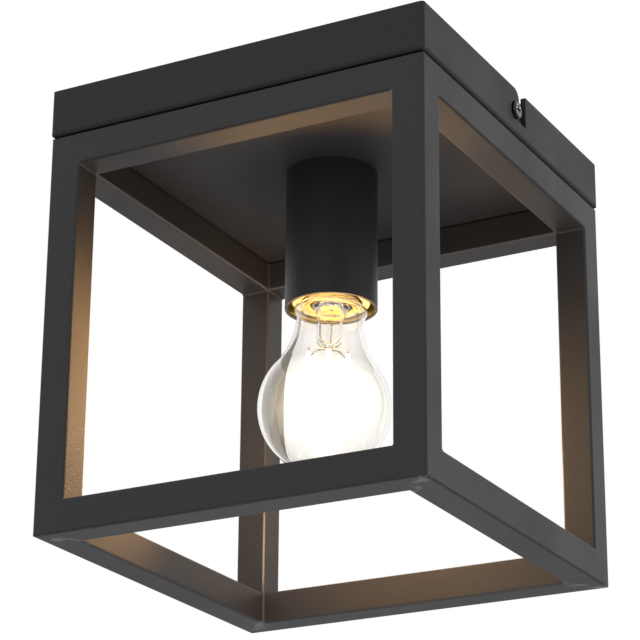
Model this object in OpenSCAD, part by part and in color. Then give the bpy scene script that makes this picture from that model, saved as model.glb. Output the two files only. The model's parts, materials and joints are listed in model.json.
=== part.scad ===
// Porch ceiling lantern: a square sheet-steel canopy on a ceiling bracket, an open
// cube cage of welded square tube under it, and one lamp in a plain round sleeve.
// Frame: origin on the ceiling at the middle of the bracket, +Z up, so the lantern
// hangs towards -Z. The front of the lantern faces -Y. Millimetres.

/* [Cage] */
// Outer width of the square cage
cage_w = 185; // [175:1:260]
// Height of the cage over its top and bottom rails
cage_h = 185; // [170:1:260]
// Side of the square tube that rails and posts are cut from
tube_w = 15; // [12:0.5:18]
// Wall of the square tube
tube_wall = 1.2; // [0.8:0.1:1.8]
// Outer corner radius of the square tube
tube_corner_r = 1.2; // [0.5:0.1:2.5]

/* [Canopy] */
// How far the canopy stands out past the cage on each side
canopy_overhang = 0.5; // [0.5:0.25:4]
// Height of the canopy from the ceiling to its underside
canopy_h = 23; // [22.5:0.5:40]
// Thickness of the canopy sheet
sheet_t = 1.2; // [0.8:0.1:1.5]
// Outer radius of the canopy's folded lower edge
canopy_bend_r = 2.5; // [2:0.1:4]
// Radius of the canopy's upright corners
canopy_corner_r = 1.6; // [1.6:0.1:4]
// Thickness of the doubler plate behind each side notch
doubler_t = 1.2; // [0.8:0.1:2]

/* [Side notches] */
// Depth of the side screws below the ceiling
side_screw_z = 11; // [10.5:0.1:11.5]
// Clear height of the notch pocket that the screw head sits in
pocket_h = 8.8; // [8.4:0.1:10]
// Reach of the pocket from the screw towards the front
pocket_front = 4.7; // [4.5:0.1:8]
// Reach of the pocket from the screw towards the back
pocket_back = 10.8; // [9.5:0.1:12]
// Distance from the screw to the near edge of the notch's neck
neck_edge = 3.7; // [3:0.1:4]
// Lead-in radius at the mouth of the neck
neck_lead_r = 5; // [0.5:0.1:5]
// Height of the slot in the doubler plate for the screw shank
shank_slot_h = 4.6; // [4.4:0.1:6]

/* [Ceiling bracket] */
// Width of the bracket strip
bracket_w = 30; // [24:1:40]
// Thickness of the bracket strip
bracket_t = 2; // [1.5:0.1:2.5]
// Height of the bracket's folded ends
bracket_tab_h = 17; // [16:0.5:18]
// Distance between the centres of the two ceiling slots
slot_spacing = 110; // [80:1:118]
// End-to-end length of a ceiling slot
slot_l = 20; // [10:1:24]
// Width of a ceiling slot
slot_w = 5.5; // [4:0.1:7]
// Diameter of the cable hole in the middle of the bracket
cable_hole_d = 20; // [14:1:22]

/* [Fasteners] */
// Diameter of the machine screws
screw_d = 4; // [3.5:0.1:4]
// Head diameter of the machine screws
screw_head_d = 8; // [7:0.1:8]
// Head height of the machine screws
screw_head_h = 2.2; // [2:0.1:3]
// Length of the side screws under the head
side_screw_l = 10; // [9:0.5:14]
// Length of the cage screws under the head
cage_screw_l = 9; // [7:0.5:12]
// Distance of the cage screws from the middle of a side rail
cage_screw_y = 60; // [50:1:68]
// Thickness of the washers under the screw heads
washer_t = 0.5; // [0.5:0.1:1]
// Size of the hexagon nuts across their flats
nut_af = 7; // [6.5:0.1:7]
// Height of the hexagon nuts
nut_h = 3.2; // [2.4:0.1:3.2]
// Outer diameter of the rivet nuts in the top rails
rivet_nut_d = 6; // [5.5:0.1:6.5]
// Length of the rivet nuts
rivet_nut_l = 9; // [7:0.5:9.5]

/* [Lampholder] */
// Outer diameter of the round sleeve
sleeve_d = 42; // [40:0.5:50]
// Length of the sleeve below the canopy
sleeve_l = 66.5; // [64:0.5:80]
// Wall of the sleeve
sleeve_wall = 1.5; // [1:0.1:1.5]
// Outer diameter of the threaded nipple that holds the lampholder
nipple_d = 10; // [9:0.5:11]
// Bore of the threaded nipple
nipple_bore_d = 7; // [6:0.1:7.4]
// Height of the nipple above the canopy floor
nipple_rise = 6; // [5:0.1:7]
// Depth of the nipple in the lampholder cap
nipple_depth = 8; // [6:0.5:9]
// Size of the nipple nut across its flats
nipple_nut_af = 14; // [13:0.5:17]
// Height of the nipple nut
nipple_nut_h = 3.5; // [2.5:0.1:3.8]
// Outer diameter of the lampholder
holder_d = 35; // [33:0.5:35]
// Distance from the sleeve's mouth up to the lampholder's rim
holder_recess = 3; // [2:0.5:8]
// Depth of the centre contact behind the lampholder's rim
socket_depth = 24.2; // [24:0.05:27]
// Inner diameter of the lampholder's screw shell
shell_d = 27; // [26.8:0.1:27.2]
// Wall of the lampholder's screw shell
shell_wall = 0.4; // [0.3:0.1:0.5]
// Thickness of the insert that carries the contacts
insert_t = 6.5; // [5:0.5:8]

/* [Bulb] */
// Largest diameter of the bulb
bulb_d = 60; // [55:0.5:70]
// Length of the bulb over everything
bulb_l = 104; // [100:1:120]
// Diameter of the bulb's neck
bulb_neck_d = 30.4; // [29:0.1:31]
// Radius of the hollow curve between neck and ball
bulb_blend_r = 38; // [24:1:40]
// Wall of the bulb's glass
bulb_glass_t = 0.9; // [0.6:0.1:1.2]
// Diameter of the glass shoulder just under the screw cap
bulb_shoulder_d = 33.4; // [32:0.1:34]
// Lean of the glass in its screw cap, towards the left, in degrees
glass_lean = 3.6; // [0:0.1:3.6]
// Length of the bulb's screw cap with its contact
bulb_cap_l = 25; // [24:0.5:26]
// Crest diameter of the screw cap
bulb_cap_d = 26.4; // [26:0.1:26.6]
// Number of filaments
filament_count = 6; // [3:1:8]
// Length of a filament's body
filament_l = 38; // [30:1:40]
// Diameter of a filament
filament_d = 1.8; // [1:0.1:2.4]

/* [Wiring] */
// Diameter of an insulated wire
wire_d = 2; // [1.4:0.1:2.2]
// Width of the terminal block across its three poles
block_w = 28; // [27:0.5:32]
// Depth of the terminal block along its poles
block_d = 17; // [15:0.5:20]
// Height of the terminal block
block_h = 15; // [13:0.5:15]
// Distance between neighbouring poles
pole_pitch = 9; // [8:0.1:9]
// Distance from the lantern's middle to the terminal block's middle
block_y = 42; // [38:1:50]
// Place of the earth stud to the right of the middle
earth_x = 34; // [28:1:50]
// Place of the earth stud behind the middle
earth_y = 24; // [20:1:30]

/* [Clearances] */
// Gap between a shank and the thread it turns in
thread_gap = 0.05; // [0.02:0.01:0.1]
// Gap round a screw shank in a plain hole
hole_gap = 0.25; // [0.1:0.05:0.5]
// Gap between the bracket's ends and the doubler plates
bracket_gap = 0.3; // [0.2:0.1:1]
// Gap between lampholder pieces that slip into each other
slip_gap = 0.1; // [0.05:0.05:0.2]
// Gap between the bulb's contact and the lampholder's contact
contact_gap = 0.1; // [0.05:0.05:0.3]

/* [Hidden] */
$fn = 64;

// Overlap of a cutter past the face it cuts
over = 1;
// Colours as the photo shows them, and plain ones for what it hides
coat_colour = [0.21, 0.21, 0.22];
zinc_colour = [0.66, 0.67, 0.69];
brass_colour = [0.76, 0.62, 0.32];
ceramic_colour = [0.93, 0.92, 0.88];
nickel_colour = [0.74, 0.74, 0.72];
glass_colour = [0.93, 0.96, 0.97, 0.35];
plastic_colour = [0.88, 0.88, 0.84];

// Canopy and cage
canopy_w = cage_w + 2 * canopy_overhang;
floor_top_z = -canopy_h + sheet_t;
cage_bottom_z = -canopy_h - cage_h;
top_rail_z = -canopy_h - tube_w / 2;
bottom_rail_z = cage_bottom_z + tube_w / 2;
rail_offset = (cage_w - tube_w) / 2;
post_l = cage_h - 2 * tube_w;
inner_corner_r = 0.3;

// Side notches and bracket
doubler_border = 3;
doubler_front = pocket_front + doubler_border;
doubler_back = pocket_back + doubler_border;
doubler_h = side_screw_z + pocket_h / 2 + doubler_border / 2;
doubler_outer_x = canopy_w / 2 - sheet_t;
tab_outer_x = doubler_outer_x - doubler_t - bracket_gap;
tab_bend_r = 1.2;
shank_slot_front = screw_d / 2 + 0.5;
washer_hole_d = screw_d + 0.3;
recess_l = 4.6;
recess_w = 0.9;
recess_depth = 1.5;
head_edge_r = 1.1;

// Lampholder, from the canopy's underside down
sleeve_top_t = sleeve_wall;
holder_top_z = -canopy_h - sleeve_top_t;
sleeve_mouth_z = -canopy_h - sleeve_l;
holder_rim_z = sleeve_mouth_z + holder_recess;
contact_z = holder_rim_z + socket_depth;
contact_fold = 1.55;
insert_bottom_z = contact_z + contact_fold;
insert_top_z = insert_bottom_z + insert_t;
shell_drop = 1.95;
shell_recess = 0.5;
shell_top_z = contact_z - shell_drop;
shell_outer_r = shell_d / 2 + shell_wall;
body_bore_r = shell_outer_r + 2.5 * slip_gap;
insert_r = body_bore_r - slip_gap;
cap_wall = 2;
cap_boss_r = nipple_d / 2 + 3;
contact_strip_t = 0.5;
contact_strip_w = 5;
strip_inset = 0.05;
terminal_x = 8;
terminal_s = 5;
terminal_h = 6;
terminal_screw_r = 1.05;
nipple_washer_t = 1;
nipple_washer_d = nipple_nut_af + 3;
nipple_hole_d = nipple_d + 0.4;

// Bulb, from its contact down to the bottom of its ball
bulb_tip_z = contact_z - contact_gap;
bulb_r = bulb_d / 2;
ball_z = bulb_tip_z - bulb_l + bulb_r;
cap_end_z = bulb_tip_z - bulb_cap_l;
cement_t = 0.85;
glass_top_z = cap_end_z - cement_t;
shoulder_edge_r = 2.6;
neck_r = bulb_neck_d / 2;
blend_rise = sqrt(pow(bulb_r + bulb_blend_r, 2) - pow(neck_r + bulb_blend_r, 2));
thread_pitch = 3.629;
thread_turns = 4;
thread_depth = 1.1;
thread_start = 6;
cap_wall_r = bulb_cap_d / 2 - thread_depth - 0.5;
cap_lip_r = 11.5;
insulator_top = 1.2;
insulator_bottom = 5;
contact_r = 4.8;
contact_edge = 0.8;
lead_hole_r = 1.2;
driver_rise = 4;
driver_gap = 0.5;
driver_top_gap = 2;
stem_r = 5.8;
stem_wall = 0.8;
stem_arm_gap = 0.55;
stem_flare_l = 4;
stem_pinch_l = 4;
stem_pinch_t = 2;
stem_pinch_depth = 5.5;
stem_rod_r = 1.2;
filament_rise = 25.5;
filament_top_z = ball_z + filament_rise;
filament_top_r = 10;
filament_bottom_r = 12.5;
filament_wire_r = 0.3;
filament_drop = sqrt(pow(filament_l, 2) - pow(filament_bottom_r - filament_top_r, 2));
filament_lean = atan((filament_bottom_r - filament_top_r) / filament_drop);
stem_rod_over = 4;
stem_tip_z = filament_top_z - stem_rod_over;
stem_l = glass_top_z - bulb_glass_t - filament_top_z - 2 * filament_wire_r - stem_arm_gap;

// Terminal block and earth stud on the canopy floor
pole_rise = 6.5;
pole_z = floor_top_z + pole_rise;
clamp_r = 2.5;
clamp_bore_r = 1.6;
clamp_screw_r = 1.4;
clamp_screw_offset = 4.2;
clamp_l = block_d - 3;
block_stud_r = 1.4;
block_nut_af = 5;
block_nut_h = 2;
block_seat_h = 10;
lug_t = 0.8;
lug_reach = 9;
lug_tongue_w = 4;
lug_barrel_l = 4.5;
earth_stud_l = 9;
// Distance of each lamp wire from the middle of the nipple's bore
wire_apart = wire_d / 2 + 0.4;
wire_squeeze = 0.1;
wire_grip = 7;
wire_lead = 2;

// ---- Shared shapes -------------------------------------------------------

// Square with exact round corners, centred
module rounded_square(side, r) {
    square([side, side - 2 * r], center = true);
    square([side - 2 * r, side], center = true);
    for (x = [-1, 1], y = [-1, 1])
        translate([x * (side / 2 - r), y * (side / 2 - r)])
            circle(r = r);
}

// Flat-topped profile of width w that reaches from z = 0 down to -h, its two lower corners round
module tray_profile(w, h, r) {
    translate([-w / 2, -h + r])
        square([w, h - r]);
    translate([-w / 2 + r, -h])
        square([w - 2 * r, r + over]);
    for (x = [-1, 1])
        translate([x * (w / 2 - r), -h + r])
            circle(r = r);
}

// Box with four round lower edges and four round upright edges
module tray_block(w, h, edge_r, corner_r) {
    intersection() {
        rotate([90, 0, 0])
            linear_extrude(w + 2 * over, center = true)
                tray_profile(w, h, edge_r);
        rotate([90, 0, 90])
            linear_extrude(w + 2 * over, center = true)
                tray_profile(w, h, edge_r);
        translate([0, 0, -h - over])
            linear_extrude(h + 2 * over)
                rounded_square(w, corner_r);
    }
}

// Ring or washer that stands on z = 0
module ring(outer_r, inner_r, h) {
    difference() {
        cylinder(r = outer_r, h = h);
        translate([0, 0, -over])
            cylinder(r = inner_r, h = h + 2 * over);
    }
}

// Hexagon nut that stands on z = 0, with a plain bore in place of its thread
module hex_nut(af, h, bore_r) {
    difference() {
        cylinder(r = af / 2 / cos(30), h = h, $fn = 6);
        translate([0, 0, -over])
            cylinder(r = bore_r, h = h + 2 * over);
    }
}

// Pan-head machine screw: head from z = 0 up, shank down, cross recess in the head
module pan_screw(shank_l) {
    difference() {
        union() {
            cylinder(r = screw_head_d / 2, h = screw_head_h - head_edge_r);
            translate([0, 0, screw_head_h - head_edge_r])
                rotate_extrude()
                    intersection() {
                        square([screw_head_d / 2, head_edge_r]);
                        union() {
                            translate([screw_head_d / 2 - head_edge_r, 0])
                                circle(r = head_edge_r);
                            square([screw_head_d / 2 - head_edge_r, head_edge_r]);
                        }
                    }
        }
        for (a = [0, 90])
            rotate([0, 0, a])
                translate([-recess_l / 2, -recess_w / 2, screw_head_h - recess_depth])
                    cube([recess_l, recess_w, recess_depth + over]);
    }
    translate([0, 0, -shank_l])
        cylinder(r = screw_d / 2, h = shank_l);
}

// Unit vector, tangent along a route, and the carried normal that keeps a sweep from twisting
function unit(v) = v / norm(v);
function tangent(p, i) = unit(p[min(i + 1, len(p) - 1)] - p[max(i - 1, 0)]);
function carried(p, i, n) =
    i >= len(p) ? [] :
    let (t = tangent(p, i), m = unit(n - (n * t) * t))
    concat([[t, m]], carried(p, i + 1, m));

// Point of a smooth curve through a route's points, between point i and the next one
function smooth_point(p, i, u) =
    let (a = p[max(i - 1, 0)], b = p[i], c = p[i + 1], d = p[min(i + 2, len(p) - 1)])
    0.5 * (2 * b + (c - a) * u + (2 * a - 5 * b + 4 * c - d) * u * u
        + (3 * b - a - 3 * c + d) * u * u * u);
function smooth_route(p, steps) = concat(
    [for (i = [0 : len(p) - 2], k = [0 : steps - 1]) smooth_point(p, i, k / steps)],
    [p[len(p) - 1]]);

// Round wire swept along a route as one closed tube of eight sides
module swept_wire(route, r) {
    sides = 8;
    path = smooth_route(route, 3);
    frames = carried(path, 0, [0, 1, 0.01]);
    rings = [for (i = [0 : len(path) - 1], k = [0 : sides - 1])
        let (t = frames[i][0], m = frames[i][1], a = 360 * k / sides)
        path[i] + r * (cos(a) * m + sin(a) * cross(t, m))];
    last = (len(path) - 1) * sides;
    walls = [for (i = [0 : len(path) - 2], k = [0 : sides - 1])
        let (a = i * sides + k, b = i * sides + (k + 1) % sides)
        each [[a, b + sides, b], [a, a + sides, b + sides]]];
    ends = [[for (k = [0 : sides - 1]) k], [for (k = [sides - 1 : -1 : 0]) last + k]];
    polyhedron(points = rings, faces = concat(walls, ends), convexity = 6);
}

// ---- Ceiling bracket and side screws -------------------------------------

// Everything on the right side, repeated on the left as its mirror image
module on_side(side) {
    mirror([side < 0 ? 1 : 0, 0, 0])
        children();
}

// Flat top with its ends folded down
module bracket_profile() {
    difference() {
        translate([0, -bracket_tab_h])
            mirror([0, 1])
                tray_profile(2 * tab_outer_x, bracket_tab_h, tab_bend_r + bracket_t);
        translate([0, -bracket_tab_h - over])
            mirror([0, 1])
                tray_profile(2 * (tab_outer_x - bracket_t), bracket_tab_h + over - bracket_t, tab_bend_r);
    }
}

module mounting_bracket() {
    color(zinc_colour)
        difference() {
            rotate([90, 0, 0])
                linear_extrude(bracket_w, center = true)
                    bracket_profile();
            for (x = [-1, 1])
                translate([x * slot_spacing / 2, 0, -bracket_t - over]) {
                    for (s = [-1, 1])
                        translate([s * (slot_l - slot_w) / 2, 0, 0])
                            cylinder(r = slot_w / 2, h = bracket_t + 2 * over);
                    translate([-(slot_l - slot_w) / 2, -slot_w / 2, 0])
                        cube([slot_l - slot_w, slot_w, bracket_t + 2 * over]);
                }
            translate([0, 0, -bracket_t - over])
                cylinder(r = cable_hole_d / 2, h = bracket_t + 2 * over);
            translate([-tab_outer_x - over, 0, -side_screw_z])
                rotate([0, 90, 0])
                    cylinder(r = screw_d / 2 + thread_gap, h = 2 * (tab_outer_x + over));
        }
}

module bracket_weld_nuts() {
    color(zinc_colour)
        for (side = [-1, 1])
            on_side(side)
                translate([tab_outer_x - bracket_t, 0, -side_screw_z])
                    rotate([0, -90, 0])
                        hex_nut(nut_af, nut_h, screw_d / 2 + thread_gap);
}

module side_screw(side) {
    color(zinc_colour)
        on_side(side)
            translate([doubler_outer_x + washer_t, 0, -side_screw_z])
                rotate([0, 90, 0])
                    pan_screw(side_screw_l);
}

module side_washer(side) {
    color(zinc_colour)
        on_side(side)
            translate([doubler_outer_x, 0, -side_screw_z])
                rotate([0, 90, 0])
                    ring(screw_head_d / 2, washer_hole_d / 2, washer_t);
}

module right_side_screw() { side_screw(1); }
module left_side_screw() { side_screw(-1); }
module right_screw_washer() { side_washer(1); }
module left_screw_washer() { side_washer(-1); }

// ---- Canopy --------------------------------------------------------------

// Outline of the notch in the side wall, across and down from the screw
module notch_outline() {
    pocket_r = pocket_h / 2;
    translate([-pocket_front + pocket_r, 0])
        circle(r = pocket_r);
    translate([-pocket_front + pocket_r, -pocket_r])
        square([pocket_front + pocket_back - pocket_r, pocket_h]);
    translate([neck_edge, 0])
        square([pocket_back - neck_edge, side_screw_z + over]);
    translate([neck_edge - neck_lead_r, side_screw_z - neck_lead_r])
        difference() {
            square([neck_lead_r + 0.01, neck_lead_r + over]);
            circle(r = neck_lead_r);
        }
}

// Outline of the narrower slot in the doubler plate, which the screw head clamps
module shank_slot_outline() {
    translate([-shank_slot_front, -shank_slot_h / 2])
        square([shank_slot_front + pocket_back, shank_slot_h]);
    translate([neck_edge, 0])
        square([pocket_back - neck_edge, side_screw_z + over]);
}

// Stands a notch outline, drawn across and up, in the side wall at the screw
module in_side_wall(x, depth) {
    translate([x, 0, -side_screw_z])
        rotate([90, 0, 90])
            linear_extrude(depth)
                children();
}

module canopy_doubler(side) {
    on_side(side)
        difference() {
            translate([doubler_outer_x - doubler_t, -doubler_front, -doubler_h])
                cube([doubler_t, doubler_front + doubler_back, doubler_h]);
            in_side_wall(doubler_outer_x - doubler_t - over, doubler_t + 2 * over)
                shank_slot_outline();
        }
}

module canopy() {
    color(coat_colour) {
        difference() {
            intersection() {
                tray_block(canopy_w, canopy_h, canopy_bend_r, canopy_corner_r);
                translate([-canopy_w, -canopy_w, -2 * canopy_h])
                    cube([2 * canopy_w, 2 * canopy_w, 2 * canopy_h]);
            }
            tray_block(canopy_w - 2 * sheet_t, canopy_h - sheet_t,
                canopy_bend_r - sheet_t, canopy_corner_r - sheet_t);
            for (side = [-1, 1])
                on_side(side)
                    in_side_wall(doubler_outer_x - over, sheet_t + 2 * over)
                        notch_outline();
            translate([0, 0, -canopy_h - over])
                cylinder(r = nipple_hole_d / 2, h = sheet_t + 2 * over);
            at_cage_screws(-canopy_h - over)
                cylinder(r = screw_d / 2 + hole_gap, h = sheet_t + 2 * over);
        }
        for (side = [-1, 1])
            canopy_doubler(side);
    }
}

// ---- Cage ----------------------------------------------------------------

module tube_section() {
    difference() {
        rounded_square(tube_w, tube_corner_r);
        rounded_square(tube_w - 2 * tube_wall, max(tube_corner_r - tube_wall, inner_corner_r));
    }
}

// Front rail at a height, its ends mitred and its outer corners rounded; turned for the other sides
module cage_rail(z, turn) {
    rotate([0, 0, turn])
        translate([0, 0, z])
            intersection() {
                translate([0, -rail_offset, 0])
                    rotate([90, 0, 90])
                        linear_extrude(cage_w, center = true)
                            tube_section();
                linear_extrude(tube_w + over, center = true)
                    polygon([[0, 0], [-cage_w, -cage_w], [cage_w, -cage_w]]);
                linear_extrude(tube_w + over, center = true)
                    rounded_square(cage_w, tube_corner_r);
            }
}

module cage_post(x, y) {
    color(coat_colour)
        translate([x * rail_offset, y * rail_offset, bottom_rail_z + tube_w / 2])
            linear_extrude(post_l)
                tube_section();
}

// Places its children at the four cage screws
module at_cage_screws(z) {
    for (x = [-1, 1], y = [-1, 1])
        translate([x * rail_offset, y * cage_screw_y, z])
            children();
}

// A top side rail, drilled for its rivet nuts
module drilled_side_rail(turn) {
    color(coat_colour)
        difference() {
            cage_rail(top_rail_z, turn);
            at_cage_screws(-canopy_h - tube_wall - over)
                cylinder(r = rivet_nut_d / 2, h = tube_wall + 2 * over);
        }
}

module front_top_rail() { color(coat_colour) cage_rail(top_rail_z, 0); }
module back_top_rail() { color(coat_colour) cage_rail(top_rail_z, 180); }
module left_top_rail() { drilled_side_rail(-90); }
module right_top_rail() { drilled_side_rail(90); }
module front_bottom_rail() { color(coat_colour) cage_rail(bottom_rail_z, 0); }
module back_bottom_rail() { color(coat_colour) cage_rail(bottom_rail_z, 180); }
module left_bottom_rail() { color(coat_colour) cage_rail(bottom_rail_z, -90); }
module right_bottom_rail() { color(coat_colour) cage_rail(bottom_rail_z, 90); }
module front_left_post() { cage_post(-1, -1); }
module front_right_post() { cage_post(1, -1); }
module back_left_post() { cage_post(-1, 1); }
module back_right_post() { cage_post(1, 1); }

module cage_screws() {
    color(zinc_colour)
        at_cage_screws(floor_top_z + washer_t)
            pan_screw(cage_screw_l);
}

module cage_screw_washers() {
    color(zinc_colour)
        at_cage_screws(floor_top_z)
            ring(screw_head_d / 2, washer_hole_d / 2, washer_t);
}

// Rivet nut: flush with the rail's top face, with the bulged collar that grips under its wall
module cage_rivet_nuts() {
    collar_h = 2;
    color(zinc_colour)
        at_cage_screws(-canopy_h - rivet_nut_l) {
            ring(rivet_nut_d / 2, screw_d / 2 + thread_gap, rivet_nut_l);
            translate([0, 0, rivet_nut_l - tube_wall - collar_h])
                ring(rivet_nut_d / 2 + 1.2, rivet_nut_d / 2, collar_h);
        }
}

// ---- Lampholder ----------------------------------------------------------

module lampholder_sleeve() {
    color(coat_colour)
        difference() {
            translate([0, 0, sleeve_mouth_z])
                cylinder(r = sleeve_d / 2, h = sleeve_l);
            translate([0, 0, sleeve_mouth_z - over])
                cylinder(r = sleeve_d / 2 - sleeve_wall, h = sleeve_l - sleeve_top_t + over);
            translate([0, 0, -canopy_h - sleeve_top_t - over])
                cylinder(r = nipple_hole_d / 2, h = sleeve_top_t + 2 * over);
        }
}

module threaded_nipple() {
    top_z = floor_top_z + nipple_rise;
    bottom_z = holder_top_z - nipple_depth;
    color(zinc_colour)
        translate([0, 0, bottom_z])
            ring(nipple_d / 2, nipple_bore_d / 2, top_z - bottom_z);
}

module nipple_washer() {
    color(zinc_colour)
        translate([0, 0, floor_top_z])
            ring(nipple_washer_d / 2, nipple_hole_d / 2, nipple_washer_t);
}

module nipple_nut() {
    color(zinc_colour)
        translate([0, 0, floor_top_z + nipple_washer_t])
            hex_nut(nipple_nut_af, nipple_nut_h, nipple_d / 2 + thread_gap);
}

// Cap of the lampholder: a cup that opens downwards, with the boss the nipple screws into
module lampholder_cap() {
    inner_top_z = holder_top_z - cap_wall;
    color(ceramic_colour)
        difference() {
            translate([0, 0, insert_top_z])
                cylinder(r = holder_d / 2, h = holder_top_z - insert_top_z);
            difference() {
                translate([0, 0, insert_top_z - over])
                    cylinder(r = holder_d / 2 - cap_wall, h = inner_top_z - insert_top_z + over);
                translate([0, 0, holder_top_z - nipple_depth])
                    cylinder(r = cap_boss_r, h = nipple_depth);
            }
            translate([0, 0, holder_top_z - nipple_depth - over])
                cylinder(r = nipple_d / 2 + thread_gap, h = nipple_depth + 2 * over);
        }
}

module lampholder_body() {
    color(ceramic_colour)
        translate([0, 0, holder_rim_z])
            ring(holder_d / 2, body_bore_r, insert_top_z - holder_rim_z);
}

module lampholder_insert() {
    color(ceramic_colour)
        translate([0, 0, insert_bottom_z])
            cylinder(r = insert_r, h = insert_t);
}

module lampholder_shell() {
    color(brass_colour)
        translate([0, 0, holder_rim_z + shell_recess])
            ring(shell_outer_r, shell_d / 2, shell_top_z - holder_rim_z - shell_recess);
}

// Sprung strip under the insert that dips in the middle to meet the bulb's contact
module centre_contact() {
    half_l = 8;
    land = 3;
    dip = insert_bottom_z - contact_z;
    color(brass_colour)
        translate([0, 0, insert_bottom_z])
            rotate([90, 0, 0])
                linear_extrude(contact_strip_w, center = true)
                    polygon([
                        [-half_l, 0], [-half_l, -contact_strip_t], [-land, -dip], [land, -dip],
                        [half_l, -contact_strip_t], [half_l, 0], [land, contact_strip_t - dip],
                        [-land, contact_strip_t - dip]]);
}

// Strip that joins the screw shell to its terminal
module side_contact() {
    strip_w = 4;
    inner_y = 5;
    outer_y = shell_outer_r - strip_inset;
    color(brass_colour)
        translate([0, 0, insert_bottom_z])
            rotate([90, 0, 90])
                linear_extrude(strip_w, center = true)
                    polygon([
                        [inner_y, 0], [inner_y, -contact_strip_t], [outer_y - shell_wall, -contact_strip_t],
                        [outer_y - shell_wall, shell_top_z - insert_bottom_z],
                        [outer_y, shell_top_z - insert_bottom_z], [outer_y, 0]]);
}

module lampholder_terminals() {
    color(brass_colour)
        for (x = [-1, 1])
            translate([x * terminal_x, 0, insert_top_z])
                difference() {
                    translate([-terminal_s / 2, -terminal_s / 2, 0])
                        cube([terminal_s, terminal_s, terminal_h]);
                    translate([0, 0, terminal_h / 3])
                        cylinder(r = wire_d / 2 + hole_gap, h = terminal_h);
                    translate([0, 0, terminal_h * 2 / 3])
                        rotate([90, 0, 0])
                            cylinder(r = terminal_screw_r + thread_gap, h = terminal_s);
                }
}

module lampholder_terminal_screws() {
    tip_y = wire_d / 2 + hole_gap;
    head_y = terminal_s / 2;
    head_r = 1.8;
    head_h = 1.4;
    slot_w = 0.5;
    slot_depth = 0.6;
    color(zinc_colour)
        for (x = [-1, 1])
            translate([x * terminal_x, 0, insert_top_z + terminal_h * 2 / 3])
                rotate([90, 0, 0]) {
                    translate([0, 0, tip_y])
                        cylinder(r = terminal_screw_r, h = head_y - tip_y);
                    translate([0, 0, head_y])
                        difference() {
                            cylinder(r = head_r, h = head_h);
                            translate([-head_r - over, -slot_w / 2, head_h - slot_depth])
                                cube([2 * (head_r + over), slot_w, slot_depth + over]);
                        }
                }
}

// ---- Terminal block, earth and wires -------------------------------------

// Places its children at each pole of the terminal block
module at_poles() {
    for (i = [-1 : 1])
        translate([i * pole_pitch, block_y, pole_z])
            children();
}

module terminal_block() {
    color(plastic_colour)
        difference() {
            translate([-block_w / 2, block_y - block_d / 2, floor_top_z])
                cube([block_w, block_d, block_h]);
            at_poles() {
                rotate([90, 0, 0])
                    cylinder(r = clamp_r + thread_gap, h = block_d + 2 * over, center = true);
                for (y = [-1, 1])
                    translate([0, y * clamp_screw_offset, 0])
                        cylinder(r = clamp_screw_r + hole_gap, h = block_h);
            }
            at_block_studs(floor_top_z) {
                translate([0, 0, -over])
                    cylinder(r = block_stud_r + hole_gap, h = block_h);
                translate([0, 0, block_seat_h])
                    cylinder(r = block_nut_af / 2 / cos(30) + hole_gap, h = block_h);
            }
        }
}

module terminal_clamps() {
    color(brass_colour)
        at_poles()
            difference() {
                rotate([90, 0, 0])
                    cylinder(r = clamp_r, h = clamp_l, center = true);
                rotate([90, 0, 0])
                    cylinder(r = clamp_bore_r, h = clamp_l + 2 * over, center = true);
                for (y = [-1, 1])
                    translate([0, y * clamp_screw_offset, 0])
                        cylinder(r = clamp_screw_r + thread_gap, h = clamp_r + over);
            }
}

module terminal_clamp_screws() {
    screw_l = 5;
    color(zinc_colour)
        at_poles()
            for (y = [-1, 1])
                translate([0, y * clamp_screw_offset, wire_d / 2 + 0.1])
                    difference() {
                        cylinder(r = clamp_screw_r, h = screw_l);
                        translate([-2, -0.25, screw_l - 0.8])
                            cube([4, 0.5, over]);
                    }
}

// Places its children at the two studs of the terminal block
module at_block_studs(z) {
    for (x = [-1, 1])
        translate([x * pole_pitch / 2, block_y, z])
            children();
}

// Studs welded to the canopy floor
module terminal_block_studs() {
    color(zinc_colour)
        at_block_studs(floor_top_z)
            cylinder(r = block_stud_r, h = block_seat_h + block_nut_h + 0.6);
}

module terminal_block_nuts() {
    color(zinc_colour)
        at_block_studs(floor_top_z + block_seat_h)
            hex_nut(block_nut_af, block_nut_h, block_stud_r + thread_gap);
}

// Route of a lamp wire from its clamp, over the nipple's edge and down to its terminal
function lamp_wire_route(pole_x, nipple_x, end_x) =
    let (rise_z = floor_top_z + nipple_rise)
    [[pole_x, block_y - block_d / 2 + wire_grip, pole_z],
    [pole_x, block_y - block_d / 2 - wire_lead, pole_z],
    [pole_x * 0.7 + nipple_x * 0.3, 18, pole_z + 2], [nipple_x, 7, rise_z + 5],
    [nipple_x, 1.5, rise_z + 3.6], [nipple_x, 0, rise_z], [nipple_x, 0, rise_z - 8],
    [nipple_x, 0, holder_top_z - nipple_depth - 0.5],
    [(nipple_x + end_x) / 2, 0, insert_top_z + terminal_h + 4.5],
    [end_x, 0, insert_top_z + terminal_h + 1.5],
    [end_x, 0, insert_top_z + terminal_h / 3 + 0.5]];

module live_wire() {
    color([0.45, 0.27, 0.15])
        swept_wire(lamp_wire_route(-pole_pitch, -wire_apart, -terminal_x), wire_d / 2);
}

module neutral_wire() {
    color([0.15, 0.3, 0.65])
        swept_wire(lamp_wire_route(0, wire_apart, terminal_x), wire_d / 2);
}

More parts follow.
